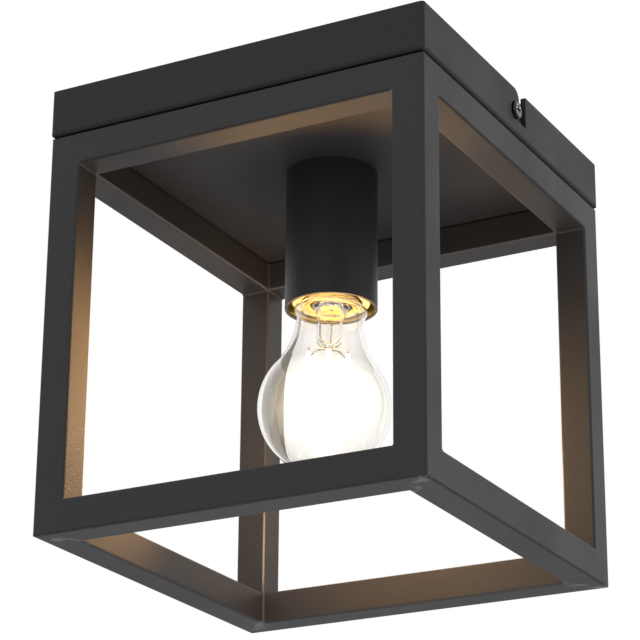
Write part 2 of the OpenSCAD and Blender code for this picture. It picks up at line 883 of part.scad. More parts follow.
module earth_wire() {
    lug_z = floor_top_z + lug_t / 2;
    front_y = block_y - block_d / 2;
    color([0.45, 0.65, 0.15])
        swept_wire([
            [pole_pitch, front_y + wire_grip, pole_z], [pole_pitch, front_y - wire_lead, pole_z],
            [pole_pitch + 3, front_y - 7, pole_z - 1],
            [(pole_pitch + earth_x) / 2, earth_y - 2, pole_z - 2.5],
            [earth_x - lug_reach, earth_y, lug_z + wire_d],
            [earth_x - lug_reach + lug_barrel_l - 1, earth_y, lug_z + wire_d]], wire_d / 2);
}

module earth_ring_lug() {
    barrel_z = floor_top_z + lug_t / 2 + wire_d;
    color(zinc_colour)
        translate([earth_x, earth_y, 0])
            difference() {
                union() {
                    translate([0, 0, floor_top_z])
                        cylinder(r = screw_head_d / 2, h = lug_t);
                    translate([-lug_reach, -lug_tongue_w / 2, floor_top_z])
                        cube([lug_reach, lug_tongue_w, lug_t]);
                    translate([-lug_reach, 0, barrel_z])
                        rotate([0, 90, 0])
                            cylinder(r = barrel_z - floor_top_z, h = lug_barrel_l);
                }
                translate([-lug_reach - over, 0, barrel_z])
                    rotate([0, 90, 0])
                        cylinder(r = wire_d / 2 + wire_squeeze, h = lug_barrel_l + 2 * over);
                translate([0, 0, floor_top_z - over])
                    cylinder(r = washer_hole_d / 2, h = lug_t + 2 * over);
            }
}

module earth_stud() {
    color(zinc_colour)
        translate([earth_x, earth_y, floor_top_z])
            cylinder(r = screw_d / 2, h = earth_stud_l);
}

module earth_washer() {
    color(zinc_colour)
        translate([earth_x, earth_y, floor_top_z + lug_t])
            ring(screw_head_d / 2, washer_hole_d / 2, washer_t);
}

module earth_nut() {
    color(zinc_colour)
        translate([earth_x, earth_y, floor_top_z + lug_t + washer_t])
            hex_nut(nut_af, nut_h, screw_d / 2 + thread_gap);
}

// ---- Bulb ----------------------------------------------------------------

// Turns its children about the middle of the glass's top face
module leaning() {
    translate([0, 0, glass_top_z])
        rotate([0, glass_lean, 0])
            translate([0, 0, -glass_top_z])
                children();
}

// Half outline of the bulb's glass, drawn in from its outer surface by inset
module bulb_outline(inset) {
    r = bulb_r - inset;
    neck = neck_r - inset;
    reach = r / (bulb_r + bulb_blend_r);
    join_r = reach * (neck_r + bulb_blend_r);
    join_z = ball_z + reach * blend_rise;
    blend_z = ball_z + blend_rise;
    shoulder_z = glass_top_z - shoulder_edge_r;
    shoulder_r = bulb_shoulder_d / 2 - inset;
    difference() {
        union() {
            intersection() {
                translate([0, ball_z])
                    circle(r = r, $fn = 128);
                translate([0, ball_z - bulb_r])
                    square([bulb_r, 2 * bulb_r]);
            }
            polygon([
                [0, join_z], [join_r, join_z], [neck, blend_z], [shoulder_r, shoulder_z],
                [bulb_shoulder_d / 2 - shoulder_edge_r, glass_top_z - inset], [0, glass_top_z - inset]]);
            translate([bulb_shoulder_d / 2 - shoulder_edge_r, shoulder_z])
                circle(r = shoulder_edge_r - inset);
        }
        translate([neck_r + bulb_blend_r, blend_z])
            intersection() {
                circle(r = bulb_blend_r + inset, $fn = 128);
                translate([-bulb_blend_r - inset, -blend_rise])
                    square([bulb_blend_r + inset, blend_rise]);
            }
    }
}

// Glass envelope, closed at the top by a shoulder that the screw cap is cemented to
module bulb_glass() {
    color(glass_colour)
        leaning()
            rotate_extrude($fn = 96)
                difference() {
                    bulb_outline(0);
                    bulb_outline(bulb_glass_t);
                    translate([0, glass_top_z - 2 * bulb_glass_t])
                        square([cap_lip_r, 3 * bulb_glass_t]);
                }
}

// Ring of cement between the leaning glass and the level end of the screw cap
module bulb_cement() {
    color(ceramic_colour)
        difference() {
            translate([0, 0, cap_end_z - 2 * cement_t])
                ring(bulb_cap_d / 2, cap_lip_r, 2 * cement_t);
            leaning()
                translate([0, 0, glass_top_z - 4 * cement_t])
                    cylinder(r = bulb_r, h = 4 * cement_t);
        }
}

// Half outline of the screw cap: skirt, rounded thread crests and the lip round the insulator
function cap_points() = concat(
    [[cap_wall_r, cap_end_z], [bulb_cap_d / 2, cap_end_z],
    [bulb_cap_d / 2, bulb_tip_z - thread_start - thread_turns * thread_pitch]],
    [for (i = [thread_turns - 1 : -1 : 0], k = [0 : 3])
        let (shape = [[0.3, 1], [0.45, 0.15], [0.7, 0.15], [0.95, 1]][k])
        [bulb_cap_d / 2 - thread_depth * shape[1],
            bulb_tip_z - thread_start - (i + 1 - shape[0]) * thread_pitch]],
    [[bulb_cap_d / 2 - thread_depth, bulb_tip_z - thread_start + 0.6],
    [cap_lip_r, bulb_tip_z - insulator_bottom],
    [cap_wall_r, bulb_tip_z - insulator_bottom - 0.5]]);

module bulb_cap() {
    color(nickel_colour)
        rotate_extrude()
            polygon(cap_points());
}

module bulb_insulator() {
    color([0.08, 0.08, 0.09])
        translate([0, 0, bulb_tip_z - insulator_bottom])
            difference() {
                cylinder(r1 = cap_lip_r, r2 = contact_r + contact_edge,
                    h = insulator_bottom - insulator_top);
                translate([0, 0, -over])
                    cylinder(r = lead_hole_r, h = insulator_bottom + over);
            }
}

module bulb_contact() {
    color(nickel_colour)
        translate([0, 0, bulb_tip_z - insulator_top])
            cylinder(r = contact_r, h = insulator_top);
}

// Glass stem: a flare under the shoulder, a tube, and a rod that carries the filaments
module bulb_stem() {
    flare_top = glass_top_z - bulb_glass_t;
    flare_r = cap_lip_r + 1;
    color(glass_colour)
        leaning()
            rotate_extrude()
                polygon([
                    [stem_r - stem_wall, flare_top], [flare_r, flare_top], [flare_r, flare_top - stem_wall],
                    [stem_r, flare_top - stem_flare_l], [stem_r, flare_top - stem_l + stem_pinch_l],
                    [stem_rod_r, flare_top - stem_l],
                    [stem_rod_r, stem_tip_z], [0, stem_tip_z], [0, flare_top - stem_l + stem_pinch_t],
                    [stem_r - stem_wall, flare_top - stem_l + stem_pinch_depth]]);
}

// Places its children at each filament's top, with +Z along the filament and upwards
module at_filaments() {
    leaning()
        for (i = [0 : filament_count - 1])
            rotate([0, 0, 360 * i / filament_count])
                translate([filament_top_r, 0, filament_top_z])
                    rotate([0, -filament_lean, 0])
                        children();
}

module bulb_filaments() {
    color([0.96, 0.8, 0.35])
        at_filaments()
            translate([0, 0, -filament_l])
                cylinder(r = filament_d / 2, h = filament_l);
}

// Fine wires from the stem's rod out to the filaments' tops, and a ring that joins their lower ends
module bulb_filament_wires() {
    color(nickel_colour)
        leaning() {
            for (i = [0 : filament_count - 1])
                rotate([0, 0, 360 * i / filament_count])
                    translate([stem_rod_r, 0, filament_top_z + filament_wire_r])
                        rotate([0, 90, 0])
                            cylinder(r = filament_wire_r, h = filament_top_r - stem_rod_r);
            translate([0, 0, filament_top_z - filament_drop - 2 * filament_wire_r])
                rotate_extrude()
                    translate([filament_bottom_r, 0])
                        circle(r = filament_wire_r);
        }
}

module bulb_driver() {
    color([0.2, 0.45, 0.25])
        translate([0, 0, cap_end_z + driver_rise])
            cylinder(r = cap_wall_r - driver_gap,
                h = bulb_cap_l - insulator_bottom - driver_rise - driver_top_gap);
}

mounting_bracket();
bracket_weld_nuts();
right_side_screw();
left_side_screw();
right_screw_washer();
left_screw_washer();
canopy();
front_top_rail();
back_top_rail();
left_top_rail();
right_top_rail();
front_left_post();
front_right_post();
back_left_post();
back_right_post();
front_bottom_rail();
back_bottom_rail();
left_bottom_rail();
right_bottom_rail();
cage_screws();
cage_screw_washers();
cage_rivet_nuts();
lampholder_sleeve();
threaded_nipple();
nipple_nut();
nipple_washer();
lampholder_cap();
lampholder_body();
lampholder_insert();
lampholder_shell();
centre_contact();
side_contact();
lampholder_terminals();
lampholder_terminal_screws();
terminal_block();
terminal_clamps();
terminal_clamp_screws();
terminal_block_studs();
terminal_block_nuts();
live_wire();
neutral_wire();
earth_wire();
earth_ring_lug();
earth_stud();
earth_washer();
earth_nut();
bulb_glass();
bulb_cement();
bulb_cap();
bulb_insulator();
bulb_contact();
bulb_stem();
bulb_filaments();
bulb_filament_wires();
bulb_driver();
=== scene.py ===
import json
from math import atan2, cos, radians, sin

import bmesh
import bpy
import numpy as np
from mathutils import Matrix, Vector


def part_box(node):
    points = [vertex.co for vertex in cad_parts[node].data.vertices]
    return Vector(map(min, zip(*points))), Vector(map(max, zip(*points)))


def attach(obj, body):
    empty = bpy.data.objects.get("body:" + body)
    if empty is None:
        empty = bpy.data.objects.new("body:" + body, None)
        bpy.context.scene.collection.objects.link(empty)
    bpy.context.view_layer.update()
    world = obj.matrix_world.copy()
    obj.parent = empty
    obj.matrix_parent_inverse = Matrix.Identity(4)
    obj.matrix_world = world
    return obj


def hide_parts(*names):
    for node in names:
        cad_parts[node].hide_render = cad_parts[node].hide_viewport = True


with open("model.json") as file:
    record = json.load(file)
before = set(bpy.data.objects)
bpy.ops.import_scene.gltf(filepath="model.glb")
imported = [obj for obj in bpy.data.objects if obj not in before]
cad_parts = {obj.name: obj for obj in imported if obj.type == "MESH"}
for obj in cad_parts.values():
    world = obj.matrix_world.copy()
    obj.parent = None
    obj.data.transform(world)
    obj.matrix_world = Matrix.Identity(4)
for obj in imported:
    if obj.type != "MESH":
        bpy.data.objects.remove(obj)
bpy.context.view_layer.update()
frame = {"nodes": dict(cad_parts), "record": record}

bl_info = {
    "name": "Cage Ceiling Lantern",
    "version": (1, 0, 0),
    "blender": (4, 5, 0),
    "location": "View3D > Sidebar > Lantern",
    "description": "Finishes an open-cage ceiling lantern: powder coat, fasteners, wiring and a lit bulb",
    "category": "Object",
}

# Lengths are in metres and angles in radians. The camera is the one that fits the straight edges of
# the cage in the photograph.
NODES = frame["nodes"]
CAP_LOW, CAP_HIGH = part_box("bulb_cap")
CANOPY_LOW, CANOPY_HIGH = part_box("canopy")
SLEEVE_LOW, SLEEVE_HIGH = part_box("lampholder_sleeve")
SCREW_LOW, SCREW_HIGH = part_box("right_side_screw")
RAIL_LOW, RAIL_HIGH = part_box("front_bottom_rail")
TOP_RAIL_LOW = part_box("front_top_rail")[0]

CEMENT_T = 0.00085
GLASS_TOP = CAP_LOW.z - CEMENT_T
GLASS_LIP_R = 0.0115
TUBE_CORNER_R = 0.0012

CAMERA_PLACE = (0.50253, -0.93035, -0.50687)
CAMERA_AZIMUTH = radians(28.647)
CAMERA_HEIGHT = radians(-21.299)
CAMERA_ROLL = radians(0.463)
CAMERA_LENS = 141.679
CAMERA_SENSOR = 36


# ---- Sizes and colours ------------------------------------------------------

class CoatSettings(bpy.types.PropertyGroup):
    colour: bpy.props.FloatVectorProperty(
        name="Colour", description="Colour of the powder coat", subtype="COLOR", size=4,
        min=0, max=1, default=(0.034, 0.034, 0.037, 1))
    roughness: bpy.props.FloatProperty(
        name="Roughness", description="Roughness of the powder coat", subtype="FACTOR",
        min=0, max=1, default=0.47)
    grain: bpy.props.FloatProperty(
        name="Grain", description="Size of the powder coat's grain", unit="LENGTH",
        min=0.0001, max=0.002, default=0.0008)


class BulbSettings(bpy.types.PropertyGroup):
    ball_radius: bpy.props.FloatProperty(
        name="Ball radius", description="Radius of the bulb's ball", unit="LENGTH",
        min=0.02, max=0.04, default=0.030)
    ball_drop: bpy.props.FloatProperty(
        name="Ball drop", description="Distance from the glass's top down to the middle of its ball",
        unit="LENGTH", min=0.03, max=0.08, default=0.04815)
    neck_radius: bpy.props.FloatProperty(
        name="Neck radius", description="Radius of the bulb's neck", unit="LENGTH",
        min=0.01, max=0.02, default=0.0152)
    hollow_radius: bpy.props.FloatProperty(
        name="Hollow radius", description="Radius of the hollow curve between neck and ball",
        unit="LENGTH", min=0.01, max=0.05, default=0.038)
    shoulder_radius: bpy.props.FloatProperty(
        name="Shoulder radius", description="Radius of the glass just under the screw cap",
        unit="LENGTH", min=0.012, max=0.02, default=0.0167)
    wall: bpy.props.FloatProperty(
        name="Wall", description="Thickness of the glass", unit="LENGTH",
        min=0.0005, max=0.0015, default=0.0006)
    lean: bpy.props.FloatProperty(
        name="Lean", description="Lean of the glass in its screw cap", subtype="ANGLE", unit="ROTATION",
        min=0, max=0.1, default=radians(3.6))
    filament_count: bpy.props.IntProperty(
        name="Filaments", description="Number of filaments", min=2, max=10, default=6)
    filament_length: bpy.props.FloatProperty(
        name="Filament length", description="Length of one filament", unit="LENGTH",
        min=0.02, max=0.05, default=0.038)
    filament_top: bpy.props.FloatProperty(
        name="Filament top", description="Height of the filaments' tops above the middle of the ball",
        unit="LENGTH", min=0, max=0.03, default=0.0255)
    glow: bpy.props.FloatVectorProperty(
        name="Glow", description="Colour of the light that the bulb gives", subtype="COLOR", size=3,
        min=0, max=1, default=(1.0, 0.53, 0.17))
    power: bpy.props.FloatProperty(
        name="Power", description="Power of the bulb's light all round", unit="POWER",
        min=0, max=50, default=0.15)
    neck_power: bpy.props.FloatProperty(
        name="Neck light", description="Power of the light that the glass pipes up into the sleeve",
        unit="POWER", min=0, max=5, default=0.02)
    left_power: bpy.props.FloatProperty(
        name="Left beam", description="Power of the bulb's light to the front left", unit="POWER",
        min=0, max=50, default=2.7)
    up_power: bpy.props.FloatProperty(
        name="Upward beam", description="Power of the bulb's light up to the front right", unit="POWER",
        min=0, max=50, default=4.2)
    low_power: bpy.props.FloatProperty(
        name="Low beam", description="Power of the bulb's light down to the front left", unit="POWER",
        min=0, max=50, default=6.3)
    back_power: bpy.props.FloatProperty(
        name="Back beam", description="Power of the bulb's light down to the back", unit="POWER",
        min=0, max=50, default=1.9)
    side_power: bpy.props.FloatProperty(
        name="Side beam", description="Power of the bulb's light to the back left", unit="POWER",
        min=0, max=50, default=0.75)
    right_power: bpy.props.FloatProperty(
        name="Right beam", description="Power of the bulb's light up to the right", unit="POWER",
        min=0, max=50, default=0.7)


class StageSettings(bpy.types.PropertyGroup):
    floor_height: bpy.props.FloatProperty(
        name="Floor", description="Height of the floor under the ceiling", unit="LENGTH",
        min=-3, max=-0.55, default=-0.65)
    soft_light: bpy.props.FloatProperty(
        name="Soft light", description="Strength of the light from all round", min=0, max=2, default=0.485)
    low_power: bpy.props.FloatProperty(
        name="Low light", description="Power of the soft light from below", unit="POWER",
        min=0, max=50, default=0.70)


# ---- Meshes ------------------------------------------------------------------

def add_object(name, data):
    """Adds an object with this mesh, light or camera at the origin, and returns it."""
    holder = bpy.data.objects.new(name, data)
    bpy.context.scene.collection.objects.link(holder)
    return holder


def add_piece(name, grids, body, stands_for, material):
    """Makes one mesh out of closed grids of points, which rides on the body, belongs to the record's
    material slot and may stand for a CAD node. A grid is rows by columns by xyz; its columns close on
    themselves, and a first or last row that lies on one point closes that end. Each grid is turned
    so that its signed volume, the sum of a . (b x c) / 6 over its triangles, is positive."""
    points, faces, start = [], [], 0
    for grid in grids:
        rows, cols = grid.shape[:2]
        index = np.arange(rows * cols).reshape(rows, cols)
        right = np.roll(index, -1, axis=1)
        quads = np.stack([index[:-1], right[:-1], right[1:], index[1:]], axis=-1).reshape(-1, 4)
        flat = grid.reshape(-1, 3)
        a, b, c, d = (flat[quads[:, k]] for k in range(4))
        volume = (a * np.cross(b, c)).sum() + (a * np.cross(c, d)).sum()
        if volume < 0:
            quads = quads[:, ::-1]
        points.append(flat)
        faces.append(quads + start)
        start += rows * cols
    mesh = bpy.data.meshes.new(name)
    mesh.from_pydata(np.concatenate(points).tolist(), [], np.concatenate(faces).tolist())
    shell = bmesh.new()
    shell.from_mesh(mesh)
    bmesh.ops.remove_doubles(shell, verts=shell.verts, dist=1e-7)
    shell.to_mesh(mesh)
    shell.free()
    mesh.validate()
    mesh.shade_smooth()
    mesh.set_sharp_from_angle(angle=radians(38))
    mesh.materials.append(material)
    piece = add_object(name, mesh)
    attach(piece, body)
    if stands_for:
        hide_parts(stands_for)
    return piece


def revolved(radius, height, steps=96):
    """Surface of revolution about Z: a point at angle t is (r cos t, r sin t, z)."""
    t = np.linspace(0, 2 * np.pi, steps, endpoint=False)
    r = np.asarray(radius, float)[:, None]
    z = np.asarray(height, float)[:, None]
    return np.stack([r * np.cos(t), r * np.sin(t), z + 0 * t], axis=-1)


def tube(path, radius, sides=10):
    """Round tube: each point of the path plus r (cos t u + sin t w), where u and w are square to the
    path's direction. The radius falls to nothing at both ends, which closes them."""
    path = np.asarray(path, float)
    path = np.concatenate([path[:1], path, path[-1:]])
    along = np.gradient(path, axis=0)
    along[0], along[-1] = along[1], along[-2]
    along /= np.linalg.norm(along, axis=1, keepdims=True)
    aside = np.where(np.abs(along[:, 2:]) > 0.9, [[1.0, 0.0, 0.0]], [[0.0, 0.0, 1.0]])
    u = np.cross(along, aside)
    u /= np.linalg.norm(u, axis=1, keepdims=True)
    w = np.cross(along, u)
    r = np.full(len(path), radius, float)
    r[0] = r[-1] = 0
    t = np.linspace(0, 2 * np.pi, sides, endpoint=False)[None, :, None]
    return path[:, None] + r[:, None, None] * (np.cos(t) * u[:, None] + np.sin(t) * w[:, None])


def leaned(grid, bulb):
    """Turns points about the Y line through the middle of the glass's top by the glass's lean."""
    a = bulb.lean
    x, y, z = grid[..., 0], grid[..., 1], grid[..., 2] - GLASS_TOP
    return np.stack([x * cos(a) + z * sin(a), y, z * cos(a) - x * sin(a) + GLASS_TOP], axis=-1)


def around(grid, count):
    """Copies of a grid turned about Z in equal steps."""
    copies = []
    for a in np.arange(count) * 2 * np.pi / count:
        turn = np.array([[cos(a), -sin(a), 0], [sin(a), cos(a), 0], [0, 0, 1]])
        copies.append(grid @ turn.T)
    return copies


def glass_outline(bulb, inset):
    """Half outline of the glass from the bottom of the ball up to its lip, moved inwards by the inset:
    an arc of the ball, the hollow arc that touches it and reaches the neck, a line to the shoulder,
    whose points lie at (s + s s (3 - 2 s)) / 2 along it, and the round shoulder."""
    ball_z = GLASS_TOP - bulb.ball_drop
    centre_r = bulb.neck_radius + bulb.hollow_radius
    rise = np.sqrt((bulb.ball_radius + bulb.hollow_radius) ** 2 - centre_r ** 2)
    meet = atan2(rise, centre_r)
    r1, r2 = bulb.ball_radius - inset, bulb.hollow_radius + inset
    t = np.linspace(-np.pi / 2, meet, 48)
    ball = np.stack([r1 * np.cos(t), ball_z + r1 * np.sin(t)], axis=-1)
    t = np.linspace(meet, 0, 24)[1:]
    hollow = np.stack([centre_r - r2 * np.cos(t), ball_z + rise - r2 * np.sin(t)], axis=-1)
    bend_r = 0.0026
    middle = (bulb.shoulder_radius - bend_r, GLASS_TOP - bend_r)
    s = np.linspace(0, 1, 9)[1:, None]
    s = s * s * (3 - 2 * s) * 0.5 + s * 0.5
    r3 = bend_r - inset
    neck = hollow[-1] + s * (np.array([middle[0] + r3, middle[1]]) - hollow[-1])
    t = np.linspace(0, np.pi / 2, 10)[1:]
    shoulder = np.stack([middle[0] + r3 * np.cos(t), middle[1] + r3 * np.sin(t)], axis=-1)
    lip = np.array([[GLASS_LIP_R, GLASS_TOP - inset]])
    return np.concatenate([ball, hollow, neck, shoulder, lip])


# ---- Shader node groups ------------------------------------------------------

class Net:
    """Short hand for adding and joining nodes in one node tree."""

    def __init__(self, tree):
        self.tree = tree

    def node(self, kind, **values):
        made = self.tree.nodes.new(kind)
        for key, value in values.items():
            setattr(made, key, value)
        return made

    def join(self, source, target):
        self.tree.links.new(source, target)

    def feed(self, target, value):
        if hasattr(value, "is_output"):
            self.join(value, target)
        else:
            target.default_value = value

    def maths(self, operation, *values):
        made = self.node("ShaderNodeMath", operation=operation)
        for socket, value in zip(made.inputs, values):
            self.feed(socket, value)
        return made.outputs[0]

    def plus(self, a, b):
        return self.maths("ADD", a, b)

    def minus(self, a, b):
        return self.maths("SUBTRACT", a, b)

    def times(self, product, *factors):
        for factor in factors:
            product = self.maths("MULTIPLY", product, factor)
        return product

    def size(self, value):
        return self.maths("ABSOLUTE", value)

    def larger(self, a, b):
        return self.maths("MAXIMUM", a, b)

    def smaller(self, a, b):
        return self.maths("MINIMUM", a, b)

    def is_below(self, value, limit):
        return self.maths("LESS_THAN", value, limit)

    def is_above(self, value, limit):
        return self.maths("GREATER_THAN", value, limit)

    def distance(self, a, b):
        """Square root of a a + b b."""
        return self.maths("SQRT", self.plus(self.times(a, a), self.times(b, b)))

    def split(self, vector):
        made = self.node("ShaderNodeSeparateXYZ")
        self.join(vector, made.inputs[0])
        return tuple(made.outputs)

    def noise(self, vector, scale, detail=2.0, roughness=0.5):
        made = self.node("ShaderNodeTexNoise")
        self.join(vector, made.inputs["Vector"])
        self.feed(made.inputs["Scale"], scale)
        self.feed(made.inputs["Detail"], detail)
        self.feed(made.inputs["Roughness"], roughness)
        return made.outputs["Fac"]

    def remap(self, value, low, high, to_low=0.0, to_high=1.0, smooth=True):
        made = self.node("ShaderNodeMapRange", interpolation_type="SMOOTHSTEP" if smooth else "LINEAR")
        for socket, v in zip(made.inputs, (value, low, high, to_low, to_high)):
            self.feed(socket, v)
        return made.outputs[0]

    def mix(self, factor, a, b):
        made = self.node("ShaderNodeMix", data_type="RGBA")
        self.feed(made.inputs["Factor"], factor)
        self.feed(made.inputs["A"], a)
        self.feed(made.inputs["B"], b)
        return made.outputs["Result"]


def coat_grain(net, place, size):
    """Powder coat's orange peel and fine speckle, from two sizes of noise, and slow clouds."""
    scale = net.maths("DIVIDE", 1.0, size)
    fine = net.noise(place, scale, 1.5)
    dots = net.noise(place, net.times(scale, 1.7), 0.0)
    return {
        "Height": net.plus(net.times(fine, 0.7), net.times(dots, 0.3)),
        "Speckle": net.remap(dots, 0.62, 0.78),
        "Cloud": net.noise(place, 18.0, 3.0),
    }


def ground_welds_and_highlights(net, place, upper_joint, underside, inner):
    """Masks on the welded cage, in distances x and y from its middle planes. Weld: ground patches
    along the mitres, where x = y, on the lowest faces. Edge: a thin painted highlight on the inner edges.
    On the top rails it lies where the larger of x and y is the inner half width at the upper joint's
    height, and along that joint on the posts' inner faces, where the smaller of the two is it. On a
    post both are it, and the painted highlight is strongest below the post's middle."""
    x, y, z = net.split(place)
    x, y = net.size(x), net.size(y)
    wobble = net.times(net.minus(net.noise(place, 130.0, 3.0), 0.5), 0.006)
    mitre = net.plus(net.size(net.minus(x, y)), wobble)
    lowest = net.remap(net.minus(z, underside), 0.0012, 0.0004)
    patch = net.remap(net.noise(place, 150.0, 2.0), 0.44, 0.60)
    faint, full = 0.0010, 0.0005
    across = net.size(net.minus(net.larger(x, y), inner))
    aside = net.size(net.minus(net.smaller(x, y), inner))
    rise = net.minus(z, upper_joint)
    level = net.size(rise)
    joint = net.plus(level, net.remap(aside, 0.0005, 0.0008))
    rail = net.remap(net.smaller(net.larger(across, level), joint), faint, full)
    post = net.remap(net.larger(across, aside), faint, full)
    from_above = net.remap(rise, -0.10, -0.125, 0.18, 1.0)
    to_below = net.remap(rise, -0.156, -0.144, 0.3, 1.0)
    return {
        "Weld": net.times(net.remap(mitre, 0.0060, 0.0010), lowest, patch),
        "Inner edge highlight": net.larger(net.times(rail, 0.22), net.times(post, from_above, to_below)),
    }


def notch_pocket_shade(net, place, sheet, half_width, sill, depth):
    """Mask of painted shade on the canopy's doubler plates behind the side notches: between the outer
    sheet and the depth behind it, near the middle of the side and above the notch's sill."""
    x, y, z = net.split(place)
    x, y = net.size(x), net.size(y)
    behind = net.times(net.is_below(x, sheet), net.is_above(x, depth))
    return {"Mask": net.times(behind, net.is_below(y, half_width), net.is_above(z, sill))}


def canopy_groove(net, place, plane, half_width, outside):
    """Mask of the groove between the canopy's folded edge and the top rails, where little light
    reaches: where the height is within the half width of their meeting plane, near the outside."""
    x, y, z = net.split(place)
    away = net.maths("DIVIDE", net.size(net.minus(z, plane)), half_width)
    outer = net.is_above(net.larger(net.size(x), net.size(y)), outside)
    return {"Mask": net.times(net.remap(away, 1.0, 0.6), outer)}


def tube_inside(net, place, radius, mouth):
    """Mask of the inside of a tube about the Z axis: nearer than the radius and above the mouth."""
    x, y, z = net.split(place)
    return {"Mask": net.times(net.is_below(net.distance(x, y), radius), net.is_above(z, mouth))}


def handling_marks(net, place, scale):
    """Handling marks on metal and plastic: long soft noise for tone, short noise for roughness and
    shorter for height."""
    return {
        "Tone": net.noise(place, net.times(scale, 0.25), 3.0),
        "Rough": net.noise(place, scale, 4.0, 0.65),
        "Height": net.noise(place, net.times(scale, 4.0), 1.0),
    }


# Each shared group's function and the numbers that it takes, with their usual values.
GROUPS = {
    "Coat grain": (coat_grain, {"Size": 0.0006}),
    "Ground welds and highlights": (ground_welds_and_highlights, {
        "Upper joint": TOP_RAIL_LOW.z, "Underside": RAIL_LOW.z, "Inner": -RAIL_HIGH.y}),
    "Notch pocket shade": (notch_pocket_shade, {
        "Sheet": CANOPY_HIGH.x - 0.0011, "Half width": 0.016, "Sill": -0.018, "Depth": 0.088}),
    "Canopy groove": (canopy_groove, {
        "Plane": CANOPY_LOW.z, "Half width": 0.0009, "Outside": CANOPY_HIGH.x - 0.004}),
    "Tube inside": (tube_inside, {
        "Radius": SLEEVE_HIGH.x - 0.0012, "Mouth": SLEEVE_LOW.z + 0.0009}),
    "Handling marks": (handling_marks, {"Scale": 300.0}),
}


def shared_group(name):
    """The named shader node group, made on its first use. It takes a place and the numbers listed in
    GROUPS, and gives what the function there makes of them."""
    if name in bpy.data.node_groups:
        return bpy.data.node_groups[name]
    make, numbers = GROUPS[name]
    group = bpy.data.node_groups.new(name, "ShaderNodeTree")
    group.interface.new_socket(name="Vector", in_out="INPUT", socket_type="NodeSocketVector")
    for label, value in numbers.items():
        socket = group.interface.new_socket(name=label, in_out="INPUT", socket_type="NodeSocketFloat")
        socket.default_value = value
    net = Net(group)
    given = net.node("NodeGroupInput").outputs
    results = make(net, given["Vector"], *(given[label] for label in numbers))
    for label in results:
        group.interface.new_socket(name=label, in_out="OUTPUT", socket_type="NodeSocketFloat")
    end = net.node("NodeGroupOutput")
    for label, value in results.items():
        net.join(value, end.inputs[label])
    return group


# ---- Materials ---------------------------------------------------------------

def new_material(name):
    """Empty node material; returns it with its net, its Principled shader and Object coordinates."""
    material = bpy.data.materials.new(name)
    material.use_nodes = True
    tree = material.node_tree
    tree.nodes.clear()
    net = Net(tree)
    shader = net.node("ShaderNodeBsdfPrincipled")
    out = net.node("ShaderNodeOutputMaterial")
    net.join(shader.outputs[0], out.inputs["Surface"])
    place = net.node("ShaderNodeTexCoord").outputs["Object"]
    return material, net, shader, place


def place_group(net, name, place, **numbers):
    """Adds a shared group at the place, with some of its numbers changed; returns its outputs."""
    made = net.node("ShaderNodeGroup")
    made.node_tree = shared_group(name)
    net.join(place, made.inputs["Vector"])
    for label, value in numbers.items():
        made.inputs[label].default_value = value
    return made.outputs


def bump(net, shader, height, strength, distance):
    """Bends the shader's normal by the height."""
    made = net.node("ShaderNodeBump")
    made.inputs["Strength"].default_value = strength
    made.inputs["Distance"].default_value = distance
    net.join(height, made.inputs["Height"])
    net.join(made.outputs[0], shader.inputs["Normal"])


def tinted(colour, factor):
    """The colour times the factor, no brighter than one, with full alpha."""
    return tuple(min(1.0, c * factor) for c in colour[:3]) + (1.0,)


def clouded(net, coat, grain):
    """The powder coat's colour, a little lighter and darker in slow clouds."""
    return net.mix(grain["Cloud"], tinted(coat.colour, 0.86), tinted(coat.colour, 1.14))


def coat_material(name, welded):
    """Satin powder coat with orange peel and fine speckle, with painted shade in the groove between
    canopy and rails. The welded cage adds ground weld patches and a painted highlight on its inner
    edges; the canopy's coat has painted shade on the doubler plates behind its notches."""
    coat = bpy.context.scene.lantern_coat
    material, net, shader, place = new_material(name)
    grain = place_group(net, "Coat grain", place, Size=coat.grain)
    colour = net.mix(grain["Speckle"], clouded(net, coat, grain), tinted(coat.colour, 1.3))
    # Painted shade in the groove between the canopy's folded edge and the top rails.
    groove = place_group(net, "Canopy groove", place)["Mask"]
    colour = net.mix(groove, colour, tinted(coat.colour, 0.2))
    rough = net.remap(grain["Cloud"], 0.3, 0.7, coat.roughness - 0.05, coat.roughness + 0.05)
    height = grain["Height"]
    if welded:
        marks = place_group(net, "Ground welds and highlights", place)
        colour = net.mix(marks["Weld"], colour, tinted(coat.colour, 3.6))
        # Painted highlight along the cage's inner edges, the coat eight times as bright there.
        colour = net.mix(marks["Inner edge highlight"], colour, tinted(coat.colour, 8.0))
        rough = net.minus(rough, net.times(marks["Inner edge highlight"], 0.12))
        height = net.plus(height, net.times(marks["Weld"], 1.5))
    else:
        # Painted shade on the doubler plates behind the notches: the coat a quarter as bright there.
        pocket = place_group(net, "Notch pocket shade", place)["Mask"]
        colour = net.mix(pocket, colour, tinted(coat.colour, 0.25))
    net.join(colour, shader.inputs["Base Color"])
    net.join(rough, shader.inputs["Roughness"])
    shader.inputs["Specular IOR Level"].default_value = 0.30 if welded else 0.19
    bump(net, shader, height, 0.6, 0.0003 if welded else 0.00012)
    return material


def sleeve_material(name):
    """Powder coat outside; the sleeve's inner wall and roof are bare yellow-plated steel."""
    coat = bpy.context.scene.lantern_coat
    material, net, shader, place = new_material(name)
    grain = place_group(net, "Coat grain", place, Size=coat.grain)
    inside = place_group(net, "Tube inside", place)["Mask"]
    plated = net.mix(grain["Cloud"], (0.72, 0.62, 0.20, 1), (0.80, 0.70, 0.27, 1))
    net.join(net.mix(inside, clouded(net, coat, grain), plated), shader.inputs["Base Color"])
    net.join(inside, shader.inputs["Metallic"])
    net.join(net.remap(inside, 0.0, 1.0, coat.roughness, 0.3), shader.inputs["Roughness"])
    shader.inputs["Specular IOR Level"].default_value = 0.26
    bump(net, shader, grain["Height"], 0.35, 0.00007)
    return material


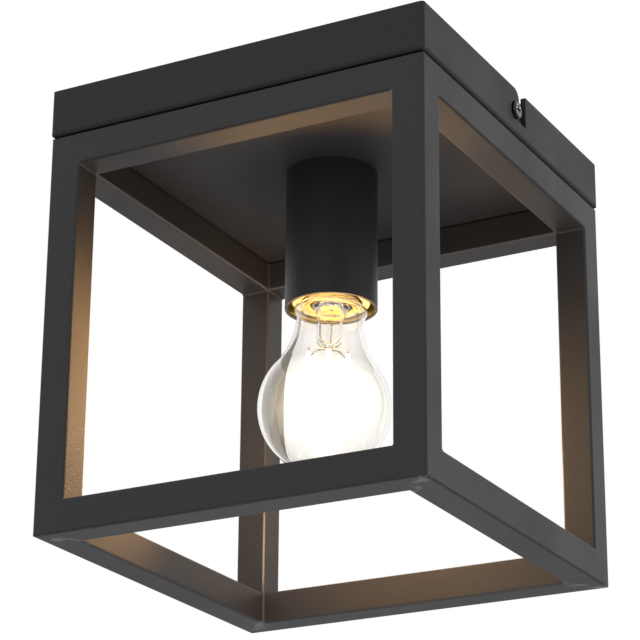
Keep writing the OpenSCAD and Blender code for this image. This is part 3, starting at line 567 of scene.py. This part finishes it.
def metal_material(name, colour, rough):
    """Plated or plain metal with slight handling marks."""
    material, net, shader, place = new_material(name)
    marks = place_group(net, "Handling marks", place)
    tone = net.mix(marks["Tone"], tinted(colour, 0.82), tinted(colour, 1.1))
    net.join(tone, shader.inputs["Base Color"])
    net.join(net.remap(marks["Rough"], 0.3, 0.7, rough - 0.08, rough + 0.1), shader.inputs["Roughness"])
    shader.inputs["Metallic"].default_value = 1.0
    bump(net, shader, marks["Height"], 0.12, 0.000012)
    return material


def cap_material(name):
    """The bulb's screw cap: plated metal outside, and the dull yellow cement that lines it inside."""
    material, net, shader, place = new_material(name)
    marks = place_group(net, "Handling marks", place)
    inside = place_group(net, "Tube inside", place, Radius=0.0118, Mouth=-1.0)["Mask"]
    metal = net.mix(marks["Tone"], (0.57, 0.55, 0.51, 1), (0.77, 0.74, 0.68, 1))
    net.join(net.mix(inside, metal, (0.80, 0.62, 0.20, 1)), shader.inputs["Base Color"])
    net.join(net.minus(1.0, inside), shader.inputs["Metallic"])
    net.join(net.remap(inside, 0.0, 1.0, 0.22, 0.5), shader.inputs["Roughness"])
    bump(net, shader, marks["Height"], 0.12, 0.000012)
    return material


def screw_material(name):
    """Blackened screw with bright metal spots near the driver's recess, which is where the distance from
    the screw's axis is small."""
    material, net, shader, place = new_material(name)
    y, z = net.split(place)[1:]
    axis_y, axis_z = (SCREW_LOW.y + SCREW_HIGH.y) / 2, (SCREW_LOW.z + SCREW_HIGH.z) / 2
    from_axis = net.distance(net.minus(y, axis_y), net.minus(z, axis_z))
    spots = net.remap(net.noise(place, 1100.0, 1.0), 0.5, 0.62)
    bright_spots = net.times(net.remap(from_axis, 0.0034, 0.0024), spots)
    colour = net.mix(bright_spots, (0.035, 0.035, 0.037, 1), (0.62, 0.61, 0.58, 1))
    net.join(colour, shader.inputs["Base Color"])
    shader.inputs["Metallic"].default_value = 1.0
    shader.inputs["Roughness"].default_value = 0.24
    bump(net, shader, net.noise(place, 3000.0, 1.0), 0.6, 0.00008)
    return material


def plain_material(name, colour, rough, coat=0.0):
    """Moulded or glazed material with slight clouding and a fine surface."""
    material, net, shader, place = new_material(name)
    marks = place_group(net, "Handling marks", place, Scale=120.0)
    tone = net.mix(marks["Tone"], tinted(colour, 0.93), tinted(colour, 1.05))
    smoothest, roughest = max(rough - 0.05, 0.02), rough + 0.06
    net.join(tone, shader.inputs["Base Color"])
    net.join(net.remap(marks["Rough"], 0.3, 0.7, smoothest, roughest), shader.inputs["Roughness"])
    shader.inputs["Coat Weight"].default_value = coat
    shader.inputs["Coat Roughness"].default_value = 0.06
    bump(net, shader, marks["Height"], 0.08, 0.00005)
    return material


def striped_material(name, base, stripe):
    """Earth insulation: stripes of a second colour along the wire, from slow noise."""
    material, net, shader, place = new_material(name)
    marks = place_group(net, "Handling marks", place, Scale=90.0)
    mask = net.remap(net.noise(place, 150.0, 0.0), 0.47, 0.53)
    net.join(net.mix(mask, tinted(base, 1.0), tinted(stripe, 1.0)), shader.inputs["Base Color"])
    net.join(net.remap(marks["Rough"], 0.3, 0.7, 0.3, 0.42), shader.inputs["Roughness"])
    return material


def glass_material(name, colour, ior, glare):
    """Clear blown glass with faint cords that bend what is seen through it. The glare of the lit
    filaments is painted on its walls as a glow, strongest where a wall faces the viewer and at the
    filaments' height."""
    material, net, shader, place = new_material(name)
    tone = net.noise(place, 60.0, 1.0)
    net.join(net.mix(tone, tinted(colour, 0.985), tinted(colour, 1.0)), shader.inputs["Base Color"])
    shader.inputs["Roughness"].default_value = 0.0
    shader.inputs["IOR"].default_value = ior
    shader.inputs["Transmission Weight"].default_value = 1.0
    bump(net, shader, net.noise(place, 70.0, 1.0), 0.06, 0.0004)
    if glare:
        top, bottom = filament_ends(bpy.context.scene.lantern_bulb)
        middle, half = (top[2] + bottom[2]) / 2, (top[2] - bottom[2]) / 2
        z = net.split(place)[2]
        away = net.maths("DIVIDE", net.size(net.minus(z, middle)), half)
        facing = net.node("ShaderNodeLayerWeight")
        facing.inputs["Blend"].default_value = 0.5
        centre = net.remap(facing.outputs["Facing"], 0.22, 0.04)
        # Painted glow: the filaments' glare as emission on the glass, with a faint glow all over.
        amount = net.plus(net.times(centre, net.remap(away, 1.5, 0.75), glare), 0.02)
        net.join(net.mix(amount, (0, 0, 0, 1), (1.0, 0.86, 0.62, 1)), shader.inputs["Emission Color"])
        shader.inputs["Emission Strength"].default_value = 1.0
    return material


def filament_material(name):
    """Lit phosphor: warm white, yellower in its grain."""
    material, net, shader, place = new_material(name)
    grain = net.noise(place, 1500.0, 2.0)
    net.join(net.mix(grain, (0.9, 0.66, 0.2, 1), (0.95, 0.78, 0.36, 1)), shader.inputs["Base Color"])
    net.join(net.mix(grain, (1.0, 0.80, 0.52, 1), (1.0, 0.92, 0.76, 1)), shader.inputs["Emission Color"])
    shader.inputs["Emission Strength"].default_value = 14.0
    shader.inputs["Roughness"].default_value = 0.6
    return material


def build_materials():
    """One material for each finish, kept by slot name."""
    finishes = {
        "coat": (coat_material, "powder_coat", False),
        "sleeve": (sleeve_material, "powder_coat_sleeve"),
        "welded": (coat_material, "powder_coat_welded", True),
        "zinc": (metal_material, "zinc_plate", (0.40, 0.40, 0.41), 0.32),
        "brass": (metal_material, "brass", (0.72, 0.52, 0.22), 0.28),
        "nickel": (metal_material, "nickel_plate", (0.70, 0.67, 0.62), 0.22),
        "cap": (cap_material, "screw_cap_plate"),
        "ceramic": (plain_material, "porcelain", (0.66, 0.60, 0.36), 0.22, 0.6),
        "block_plastic": (plain_material, "white_plastic", (0.78, 0.78, 0.74), 0.42),
        "live_insulation": (plain_material, "brown_insulation", (0.22, 0.09, 0.035), 0.36),
        "neutral_insulation": (plain_material, "blue_insulation", (0.04, 0.13, 0.42), 0.36),
        "earth_insulation": (striped_material, "striped_insulation", (0.16, 0.42, 0.05), (0.80, 0.62, 0.05)),
        "clear_glass": (glass_material, "blown_glass", (0.971, 0.960, 0.944), 1.48, 0.24),
        "stem_glass": (glass_material, "stem_glass", (0.99, 0.985, 0.97), 1.3, 0.0),
        "screws": (screw_material, "blackened_screw"),
        "black_glass": (plain_material, "black_glass", (0.012, 0.012, 0.014), 0.08, 0.4),
        "filament": (filament_material, "lit_filament"),
        "driver_board": (plain_material, "driver_potting", (0.80, 0.62, 0.28), 0.5),
    }
    return {slot: make(*values) for slot, (make, *values) in finishes.items()}


MATERIALS = {}


def finish_nodes(names, slot):
    """Gives the slot's finish to every material slot of each named CAD node."""
    for name in names:
        piece = NODES[name]
        if not piece.material_slots:
            piece.data.materials.append(MATERIALS[slot])
        for place in piece.material_slots:
            place.material = MATERIALS[slot]


def nodes_with(slot):
    """Names of the CAD nodes that the record gives this material slot."""
    return [part["node"] for part in frame["record"]["subparts"] if part["material_slot"] == slot]


def finish_slots(*slots):
    """Gives each slot's finish to all the CAD nodes that the record puts in that slot."""
    for slot in slots:
        finish_nodes(nodes_with(slot), slot)


# ---- Operators ---------------------------------------------------------------

class LANTERN_OT_materials(bpy.types.Operator):
    """Make the finishes that all the pieces share"""
    bl_idname = "lantern.materials"
    bl_label = "Materials"

    def execute(self, context):
        MATERIALS.update(build_materials())
        return {"FINISHED"}


class LANTERN_OT_canopy(bpy.types.Operator):
    """Coat the canopy and the lampholder's sleeve"""
    bl_idname = "lantern.canopy"
    bl_label = "Canopy and sleeve"

    def execute(self, context):
        finish_nodes(["canopy"], "coat")
        finish_nodes(["lampholder_sleeve"], "sleeve")
        return {"FINISHED"}


class LANTERN_OT_cage(bpy.types.Operator):
    """Coat the cage and fill the seams between its posts and rails with ground weld metal"""
    bl_idname = "lantern.cage"
    bl_label = "Cage"

    def execute(self, context):
        members = [n for n in nodes_with("coat") if n.endswith(("_rail", "_post"))]
        finish_nodes(members, "welded")
        grids = [weld_fill_grid(x, y, z) for x in (-1, 1) for y in (-1, 1) for z in (-1, 1)]
        piece = add_piece("weld_fill", grids, "canopy_unit", "", MATERIALS["welded"])
        piece.data.set_sharp_from_angle(angle=radians(35))
        return {"FINISHED"}


def weld_fill_grid(x, y, z):
    """Weld metal, ground flush, in the groove between a post's end and the rails' rounded edges, at
    the corner of the cage on these sides. The section, a square less a quarter disc, is swept round
    the outer corner: inward distances d and heights h lie on (d, h) = (r - r cos t, r - r sin t)."""
    r = TUBE_CORNER_R
    half = -RAIL_LOW.y
    tube_w = RAIL_HIGH.y - RAIL_LOW.y
    joint = TOP_RAIL_LOW.z if z > 0 else RAIL_HIGH.z
    end = half - tube_w + 0.0002
    t = np.linspace(0, np.pi / 2, 7)
    inward = np.concatenate([[0.0], r - r * np.cos(t)])
    height = np.concatenate([[0.0], r - r * np.sin(t)]) * z
    turn = np.linspace(0, np.pi / 2, 9)
    path = [(half - r + r * sin(a), half - r + r * cos(a), sin(a), cos(a)) for a in turn]
    path = [(end, half, 0.0, 1.0)] + path + [(half, end, 1.0, 0.0)]
    rows = [[((px - d * nx) * x, (py - d * ny) * y, joint + h) for d, h in zip(inward, height)]
            for px, py, nx, ny in path]
    rows = [[np.mean(rows[0], axis=0)] * len(inward)] + rows + [[np.mean(rows[-1], axis=0)] * len(inward)]
    return np.array(rows)


class LANTERN_OT_fasteners(bpy.types.Operator):
    """Plate the bracket, screws, washers and nuts"""
    bl_idname = "lantern.fasteners"
    bl_label = "Bracket and fasteners"

    def execute(self, context):
        finish_slots("zinc")
        finish_nodes(["right_side_screw", "left_side_screw"], "screws")
        return {"FINISHED"}


class LANTERN_OT_lampholder(bpy.types.Operator):
    """Finish the porcelain lampholder and its brass contacts"""
    bl_idname = "lantern.lampholder"
    bl_label = "Lampholder"

    def execute(self, context):
        finish_slots("ceramic", "brass")
        return {"FINISHED"}


class LANTERN_OT_wiring(bpy.types.Operator):
    """Finish the terminal block and the wires in the canopy"""
    bl_idname = "lantern.wiring"
    bl_label = "Wiring"

    def execute(self, context):
        finish_slots("block_plastic", "live_insulation", "neutral_insulation", "earth_insulation")
        return {"FINISHED"}


class LANTERN_OT_bulb_base(bpy.types.Operator):
    """Make the bulb's screw cap with its rolled thread, and finish its contact, insulator and driver"""
    bl_idname = "lantern.bulb_base"
    bl_label = "Bulb base"

    def execute(self, context):
        finish_slots("nickel", "black_glass", "driver_board")
        add_piece("screw_cap", [screw_cap_grid()], "bulb", "bulb_cap", MATERIALS["cap"])
        return {"FINISHED"}


def screw_cap_grid():
    """Screw cap with a rolled round thread. Its radius is the mean radius plus half the depth times
    cos(2 pi (z / pitch - t / 2 pi)). Both ends fade into plain bands, the lower as wide as the crests
    and the upper tapered to the insulator, and a plain cement lining closes the inside."""
    pitch, depth, wall = 0.003629, 0.00105, 0.0005
    lining_r, insulator_r, taper_l = 0.0112, 0.0115, 0.0016
    crest = (CAP_HIGH.x - CAP_LOW.x) / 2
    mean = crest - depth / 2
    low, high = CAP_LOW.z, CAP_HIGH.z
    t = np.linspace(0, 2 * np.pi, 96, endpoint=False)
    turns = np.linspace(low + 0.001, high - 0.0012, 84)
    z = np.concatenate([[low, low], turns, [high - 0.0004, high]])[:, None]
    fade = np.clip((z - low - 0.0025) / 0.001, 0, 1) * np.clip((high - 0.0022 - z) / 0.0015, 0, 1)
    band = np.where(z < low + 0.0028, crest, mean - depth * 0.1)
    band = band - depth * 0.35 * (1 - fade) * (z > low + 0.004)
    thread = mean + depth / 2 * np.cos(2 * np.pi * z / pitch - t)
    r = band * (1 - fade) + thread * fade
    taper = np.clip((z - (high - taper_l)) / taper_l, 0, 1)
    r = r * (1 - taper) + insulator_r * taper
    r[0] = crest - depth - wall
    outer = np.stack([r * np.cos(t), r * np.sin(t), z + 0 * t], axis=-1)
    return np.concatenate([outer, revolved([lining_r], [high - wall]), outer[:1]])


class LANTERN_OT_glass(bpy.types.Operator):
    """Blow the bulb's glass as one smooth wall of even thickness"""
    bl_idname = "lantern.glass"
    bl_label = "Bulb glass"

    def execute(self, context):
        bulb = context.scene.lantern_bulb
        outline = np.concatenate([glass_outline(bulb, 0.0), glass_outline(bulb, bulb.wall)[::-1]])
        outline[0, 0] = outline[-1, 0] = 0
        grid = leaned(revolved(outline[:, 0], outline[:, 1], 128), bulb)
        piece = add_piece("lamp_glass", [grid], "bulb", "bulb_glass", MATERIALS["clear_glass"])
        piece.visible_shadow = False
        return {"FINISHED"}


class LANTERN_OT_stem(bpy.types.Operator):
    """Draw the stem: flare, tube and pinch, the rod that carries the filaments, and the pipe inside"""
    bl_idname = "lantern.stem"
    bl_label = "Bulb stem"

    def execute(self, context):
        bulb = context.scene.lantern_bulb
        top = GLASS_TOP - bulb.wall
        outline = stem_outline(bulb, top)
        pipe_r, pipe_drops = 0.0014, (0.0004, 0.006, 0.0172)
        pipe = tube([[0, 0, top - drop] for drop in pipe_drops], pipe_r, 16)
        grids = [leaned(revolved(outline[:, 0], outline[:, 1], 48), bulb), leaned(pipe, bulb)]
        piece = add_piece("lamp_stem", grids, "bulb", "bulb_stem", MATERIALS["stem_glass"])
        piece.visible_shadow = False
        return {"FINISHED"}


def stem_outline(bulb, top):
    """Half outline of the stem, hung from the glass's top: out along the flare and down the tube to
    the pinch, down the solid rod to its round tip, and back up inside the tube. The outside's and
    the bore's points are a radius and a height from the top."""
    flare_r, tube_r, bore_r, rod_r = 0.0124, 0.0058, 0.0050, 0.0012
    tip_z = GLASS_TOP - bulb.ball_drop + bulb.filament_top - 0.004
    outside = np.array([
        [bore_r, 0], [0.0090, -0.0002], [flare_r, -0.0001], [flare_r, -0.0007], [0.0092, -0.0012],
        [0.0072, -0.0022], [0.0061, -0.0040], [tube_r, -0.0060], [tube_r, -0.0151], [0.0054, -0.0171],
        [0.0042, -0.0186], [0.0026, -0.0198], [0.0014, -0.0206]])
    bore = np.array([
        [0.0, -0.0186], [0.0020, -0.0178], [0.0036, -0.0164], [0.0048, -0.0144], [bore_r, -0.0060],
        [bore_r, -0.0030], [bore_r, 0]])
    outside[:, 1] += top
    bore[:, 1] += top
    z = np.linspace(outside[-1, 1] - 0.0006, tip_z + rod_r, 8)
    rod = np.stack([np.full_like(z, rod_r), z], axis=-1)
    t = np.linspace(0, np.pi / 2, 6)
    tip = np.stack([rod_r * np.cos(t), tip_z + rod_r - rod_r * np.sin(t)], axis=-1)
    tip[-1, 0] = 0
    return np.concatenate([outside, rod, tip, bore])


def filament_ends(bulb):
    """Top and bottom of one filament in the plane y = 0, before the lean."""
    top_r, bottom_r = 0.0100, 0.0125
    top = np.array([top_r, 0.0, GLASS_TOP - bulb.ball_drop + bulb.filament_top])
    aside = bottom_r - top_r
    drop = np.sqrt(bulb.filament_length ** 2 - aside ** 2)
    return top, top + np.array([aside, 0.0, -drop])


class LANTERN_OT_filaments(bpy.types.Operator):
    """Make the filaments: straight rods of phosphor, which show the upper clips and cover the lower"""
    bl_idname = "lantern.filaments"
    bl_label = "Filaments"

    def execute(self, context):
        bulb = context.scene.lantern_bulb
        top, bottom = filament_ends(bulb)
        rod_r, rod_start = 0.0009, 0.04
        s = np.linspace(rod_start, 1.0, 24)[:, None]
        rod = tube(top + (bottom - top) * s, rod_r, 14)
        grids = [leaned(grid, bulb) for grid in around(rod, bulb.filament_count)]
        add_piece("lamp_filaments", grids, "bulb", "bulb_filaments", MATERIALS["filament"])
        return {"FINISHED"}


class LANTERN_OT_leads(bpy.types.Operator):
    """Make the fine wires that carry the filaments: arms from the stem, clips, and the lower ring"""
    bl_idname = "lantern.leads"
    bl_label = "Filament wires"

    def execute(self, context):
        bulb = context.scene.lantern_bulb
        wire_r, clip_r, clip_l = 0.0003, 0.00055, 0.0022
        arch, ring_drop, ring_r = 0.0012, 0.0010, 0.0001
        top, bottom = filament_ends(bulb)
        down = (bottom - top) / np.linalg.norm(bottom - top)
        s = np.linspace(0, 1, 10)[:, None]
        root = np.array([0.0011, 0.0, top[2] + 0.0016])
        arm = root + s * (top - root)
        arm[:, 2] += arch * np.sin(np.pi * s[:, 0])
        parts = [tube(arm, wire_r, 8), tube(np.stack([bottom, bottom + down * ring_drop]), wire_r, 8)]
        for end, along in ((top, down), (bottom, -down)):
            start = end - along * 0.0002
            parts.append(tube(np.stack([start, start + along * clip_l]), clip_r, 8))
        grids = [grid for part in parts for grid in around(part, bulb.filament_count)]
        grids.append(ring_grid(bottom[0], bottom[2] - ring_drop, ring_r))
        grids = [leaned(grid, bulb) for grid in grids]
        add_piece("lamp_leads", grids, "bulb", "bulb_filament_wires", MATERIALS["nickel"])
        return {"FINISHED"}


def ring_grid(big, height, fine):
    """Ring about Z: with t round the ring and s round its wire, a point is ((R + r cos s) cos t,
    (R + r cos s) sin t, z + r sin s). Its last row lies on its first."""
    s = np.linspace(0, 2 * np.pi, 10, endpoint=False)[None]
    t = np.linspace(0, 2 * np.pi, 64, endpoint=False)[:, None]
    r = big + fine * np.cos(s)
    ring = np.stack([r * np.cos(t), r * np.sin(t), height + fine * np.sin(s) + 0 * t], axis=-1)
    return np.concatenate([ring, ring[:1]])


def add_lamp(name, kind, place, aim, power, colour):
    """Adds a lamp that shows neither itself nor its image through the glass; returns its object."""
    lamp = bpy.data.lights.new(name, kind)
    lamp.energy = power
    lamp.color = colour
    holder = add_object(name, lamp)
    holder.location = place
    holder.rotation_euler = Vector(aim).to_track_quat("-Z", "Y").to_euler()
    holder.visible_camera = False
    holder.visible_transmission = False
    return holder


def bulb_lamp(name, kind, place, aim, power, colour, radius):
    """Adds one of the bulb's own lamps, which stays out of reflections too; returns its light."""
    holder = add_lamp(name, kind, place, aim, power, colour)
    holder.visible_glossy = False
    holder.data.shadow_soft_size = radius
    return holder.data


def bulb_lamps(bulb):
    """Soft lights at the middle of the filaments in the colour of their glow: a little all round, and
    wide beams towards the parts of the cage that the photograph shows brightest. One more, in the
    stem's flare, stands for the light that the glass pipes up into the screw cap and the sleeve."""
    top, bottom = filament_ends(bulb)
    middle = leaned(np.array([[[0.0, 0.0, (top[2] + bottom[2]) / 2]]]), bulb)[0, 0]
    neck = (0.0, 0.0, GLASS_TOP - 0.009)
    down = (0.0, 0.0, -1.0)
    glow_r, neck_r = 0.012, 0.003
    beams = (
        ("left", (-0.085, -0.085, 0.0), 90, bulb.left_power),
        ("up", (0.055, -0.1, 0.09), 84, bulb.up_power),
        ("low", (-0.085, -0.085, -0.03), 90, bulb.low_power),
        ("back", (0.06, 0.085, -0.06), 140, bulb.back_power),
        ("side", (-0.085, 0.06, 0.0), 140, bulb.side_power),
        ("right", (0.085, 0.015, 0.09), 60, bulb.right_power),
    )
    bulb_lamp("bulb_light", "POINT", middle, down, bulb.power, bulb.glow, glow_r)
    bulb_lamp("bulb_neck", "POINT", neck, down, bulb.neck_power, (1.0, 0.66, 0.17), neck_r)
    for side, aim, cone, power in beams:
        lamp = bulb_lamp("bulb_beam_" + side, "SPOT", middle, aim, power, bulb.glow, glow_r)
        lamp.spot_size = radians(cone)
        lamp.spot_blend = 1.0


def low_lamp(stage):
    """Soft square light from below, which shows the undersides as in the photograph."""
    lamp = add_lamp("low_light", "AREA", (0, 0, -0.55), (0, 0, 1), stage.low_power, (1, 1, 1)).data
    lamp.shape = "RECTANGLE"
    lamp.size, lamp.size_y = 0.3, 0.3


def floor_material():
    """Matt pale floor. It glows a little to the camera alone, so that it stays pale under soft light."""
    material, net, shader, place = new_material("pale_floor")
    seen = net.node("ShaderNodeLightPath").outputs["Is Camera Ray"]
    tone = net.mix(net.noise(place, 6.0, 2.0), (0.80, 0.80, 0.80, 1), (0.83, 0.83, 0.83, 1))
    net.join(tone, shader.inputs["Base Color"])
    net.join(net.times(seen, 0.42), shader.inputs["Emission Strength"])
    shader.inputs["Emission Color"].default_value = (1, 1, 1, 1)
    shader.inputs["Roughness"].default_value = 0.85
    shader.inputs["Specular IOR Level"].default_value = 0.1
    return material


def add_floor(stage):
    """Flat square floor in a grid of equal steps, far larger than the camera sees."""
    side = np.linspace(-4, 4, 9)
    x, y = np.meshgrid(side, side)
    index = np.arange(x.size).reshape(x.shape)
    quads = np.stack([index[:-1, :-1], index[:-1, 1:], index[1:, 1:], index[1:, :-1]], axis=-1)
    points = np.stack([x, y, np.full_like(x, stage.floor_height)], axis=-1)
    mesh = bpy.data.meshes.new("floor")
    mesh.from_pydata(points.reshape(-1, 3).tolist(), [], quads.reshape(-1, 4).tolist())
    mesh.materials.append(floor_material())
    add_object("floor", mesh)


def add_studio(stage):
    """White surroundings: full white to the camera, in mirror images and through glass, and otherwise
    as strong as the soft light."""
    world = bpy.data.worlds.new("studio")
    world.use_nodes = True
    world.node_tree.nodes.clear()
    net = Net(world.node_tree)
    path = net.node("ShaderNodeLightPath").outputs
    seen = net.larger(path["Is Camera Ray"], net.larger(path["Is Glossy Ray"], path["Is Transmission Ray"]))
    back = net.node("ShaderNodeBackground")
    back.inputs["Color"].default_value = (1, 1, 1, 1)
    net.join(net.remap(seen, 0.0, 1.0, stage.soft_light, 1.0, smooth=False), back.inputs["Strength"])
    net.join(back.outputs[0], net.node("ShaderNodeOutputWorld").inputs[0])
    bpy.context.scene.world = world


def add_camera():
    """Camera at the photograph's place and angle, turned about its own view by the roll."""
    camera = bpy.data.cameras.new("photo_camera")
    camera.lens = CAMERA_LENS
    camera.sensor_width = CAMERA_SENSOR
    camera.clip_start, camera.clip_end = 0.01, 30
    azimuth, height, roll = CAMERA_AZIMUTH, CAMERA_HEIGHT, CAMERA_ROLL
    away = Vector((sin(azimuth) * cos(height), -cos(azimuth) * cos(height), sin(height)))
    level = Vector((cos(azimuth), sin(azimuth), 0))
    rise = away.cross(level)
    right = level * cos(roll) + rise * sin(roll)
    up = rise * cos(roll) - level * sin(roll)
    turn = Matrix((right, up, away)).transposed()
    holder = add_object("photo_camera", camera)
    holder.matrix_world = Matrix.Translation(CAMERA_PLACE) @ turn.to_4x4()
    bpy.context.scene.camera = holder


class LANTERN_OT_stage(bpy.types.Operator):
    """Set up the floor, the soft studio light, the bulb's own light and the camera"""
    bl_idname = "lantern.stage"
    bl_label = "Stage"

    def execute(self, context):
        scene = context.scene
        add_floor(scene.lantern_stage)
        add_studio(scene.lantern_stage)
        low_lamp(scene.lantern_stage)
        bulb_lamps(scene.lantern_bulb)
        add_camera()
        scene.view_settings.view_transform = "Standard"
        return {"FINISHED"}


class LANTERN_PT_panel(bpy.types.Panel):
    """Steps that finish the lantern"""
    bl_idname = "LANTERN_PT_panel"
    bl_label = "Ceiling lantern"
    bl_space_type = "VIEW_3D"
    bl_region_type = "UI"
    bl_category = "Lantern"

    def draw(self, context):
        for name in ("lantern_coat", "lantern_bulb", "lantern_stage"):
            settings = getattr(context.scene, name)
            box = self.layout.box()
            for key in settings.__annotations__:
                box.prop(settings, key)
        for step in STEPS:
            self.layout.operator(step.bl_idname)


STEPS = (
    LANTERN_OT_materials, LANTERN_OT_canopy, LANTERN_OT_cage, LANTERN_OT_fasteners, LANTERN_OT_lampholder,
    LANTERN_OT_wiring, LANTERN_OT_bulb_base, LANTERN_OT_glass, LANTERN_OT_stem, LANTERN_OT_filaments,
    LANTERN_OT_leads, LANTERN_OT_stage,
)
SETTINGS = (
    ("lantern_coat", CoatSettings), ("lantern_bulb", BulbSettings), ("lantern_stage", StageSettings),
)


def register():
    for name, kind in SETTINGS:
        bpy.utils.register_class(kind)
        setattr(bpy.types.Scene, name, bpy.props.PointerProperty(type=kind))
    for kind in STEPS + (LANTERN_PT_panel,):
        bpy.utils.register_class(kind)


def unregister():
    for kind in (LANTERN_PT_panel,) + STEPS[::-1]:
        bpy.utils.unregister_class(kind)
    for name, kind in SETTINGS[::-1]:
        delattr(bpy.types.Scene, name)
        bpy.utils.unregister_class(kind)


def main():
    register()
    bpy.ops.lantern.materials()
    bpy.ops.lantern.canopy()
    bpy.ops.lantern.cage()
    bpy.ops.lantern.fasteners()
    bpy.ops.lantern.lampholder()
    bpy.ops.lantern.wiring()
    bpy.ops.lantern.bulb_base()
    bpy.ops.lantern.glass()
    bpy.ops.lantern.stem()
    bpy.ops.lantern.filaments()
    bpy.ops.lantern.leads()
    bpy.ops.lantern.stage()


if __name__ == "__main__":
    main()
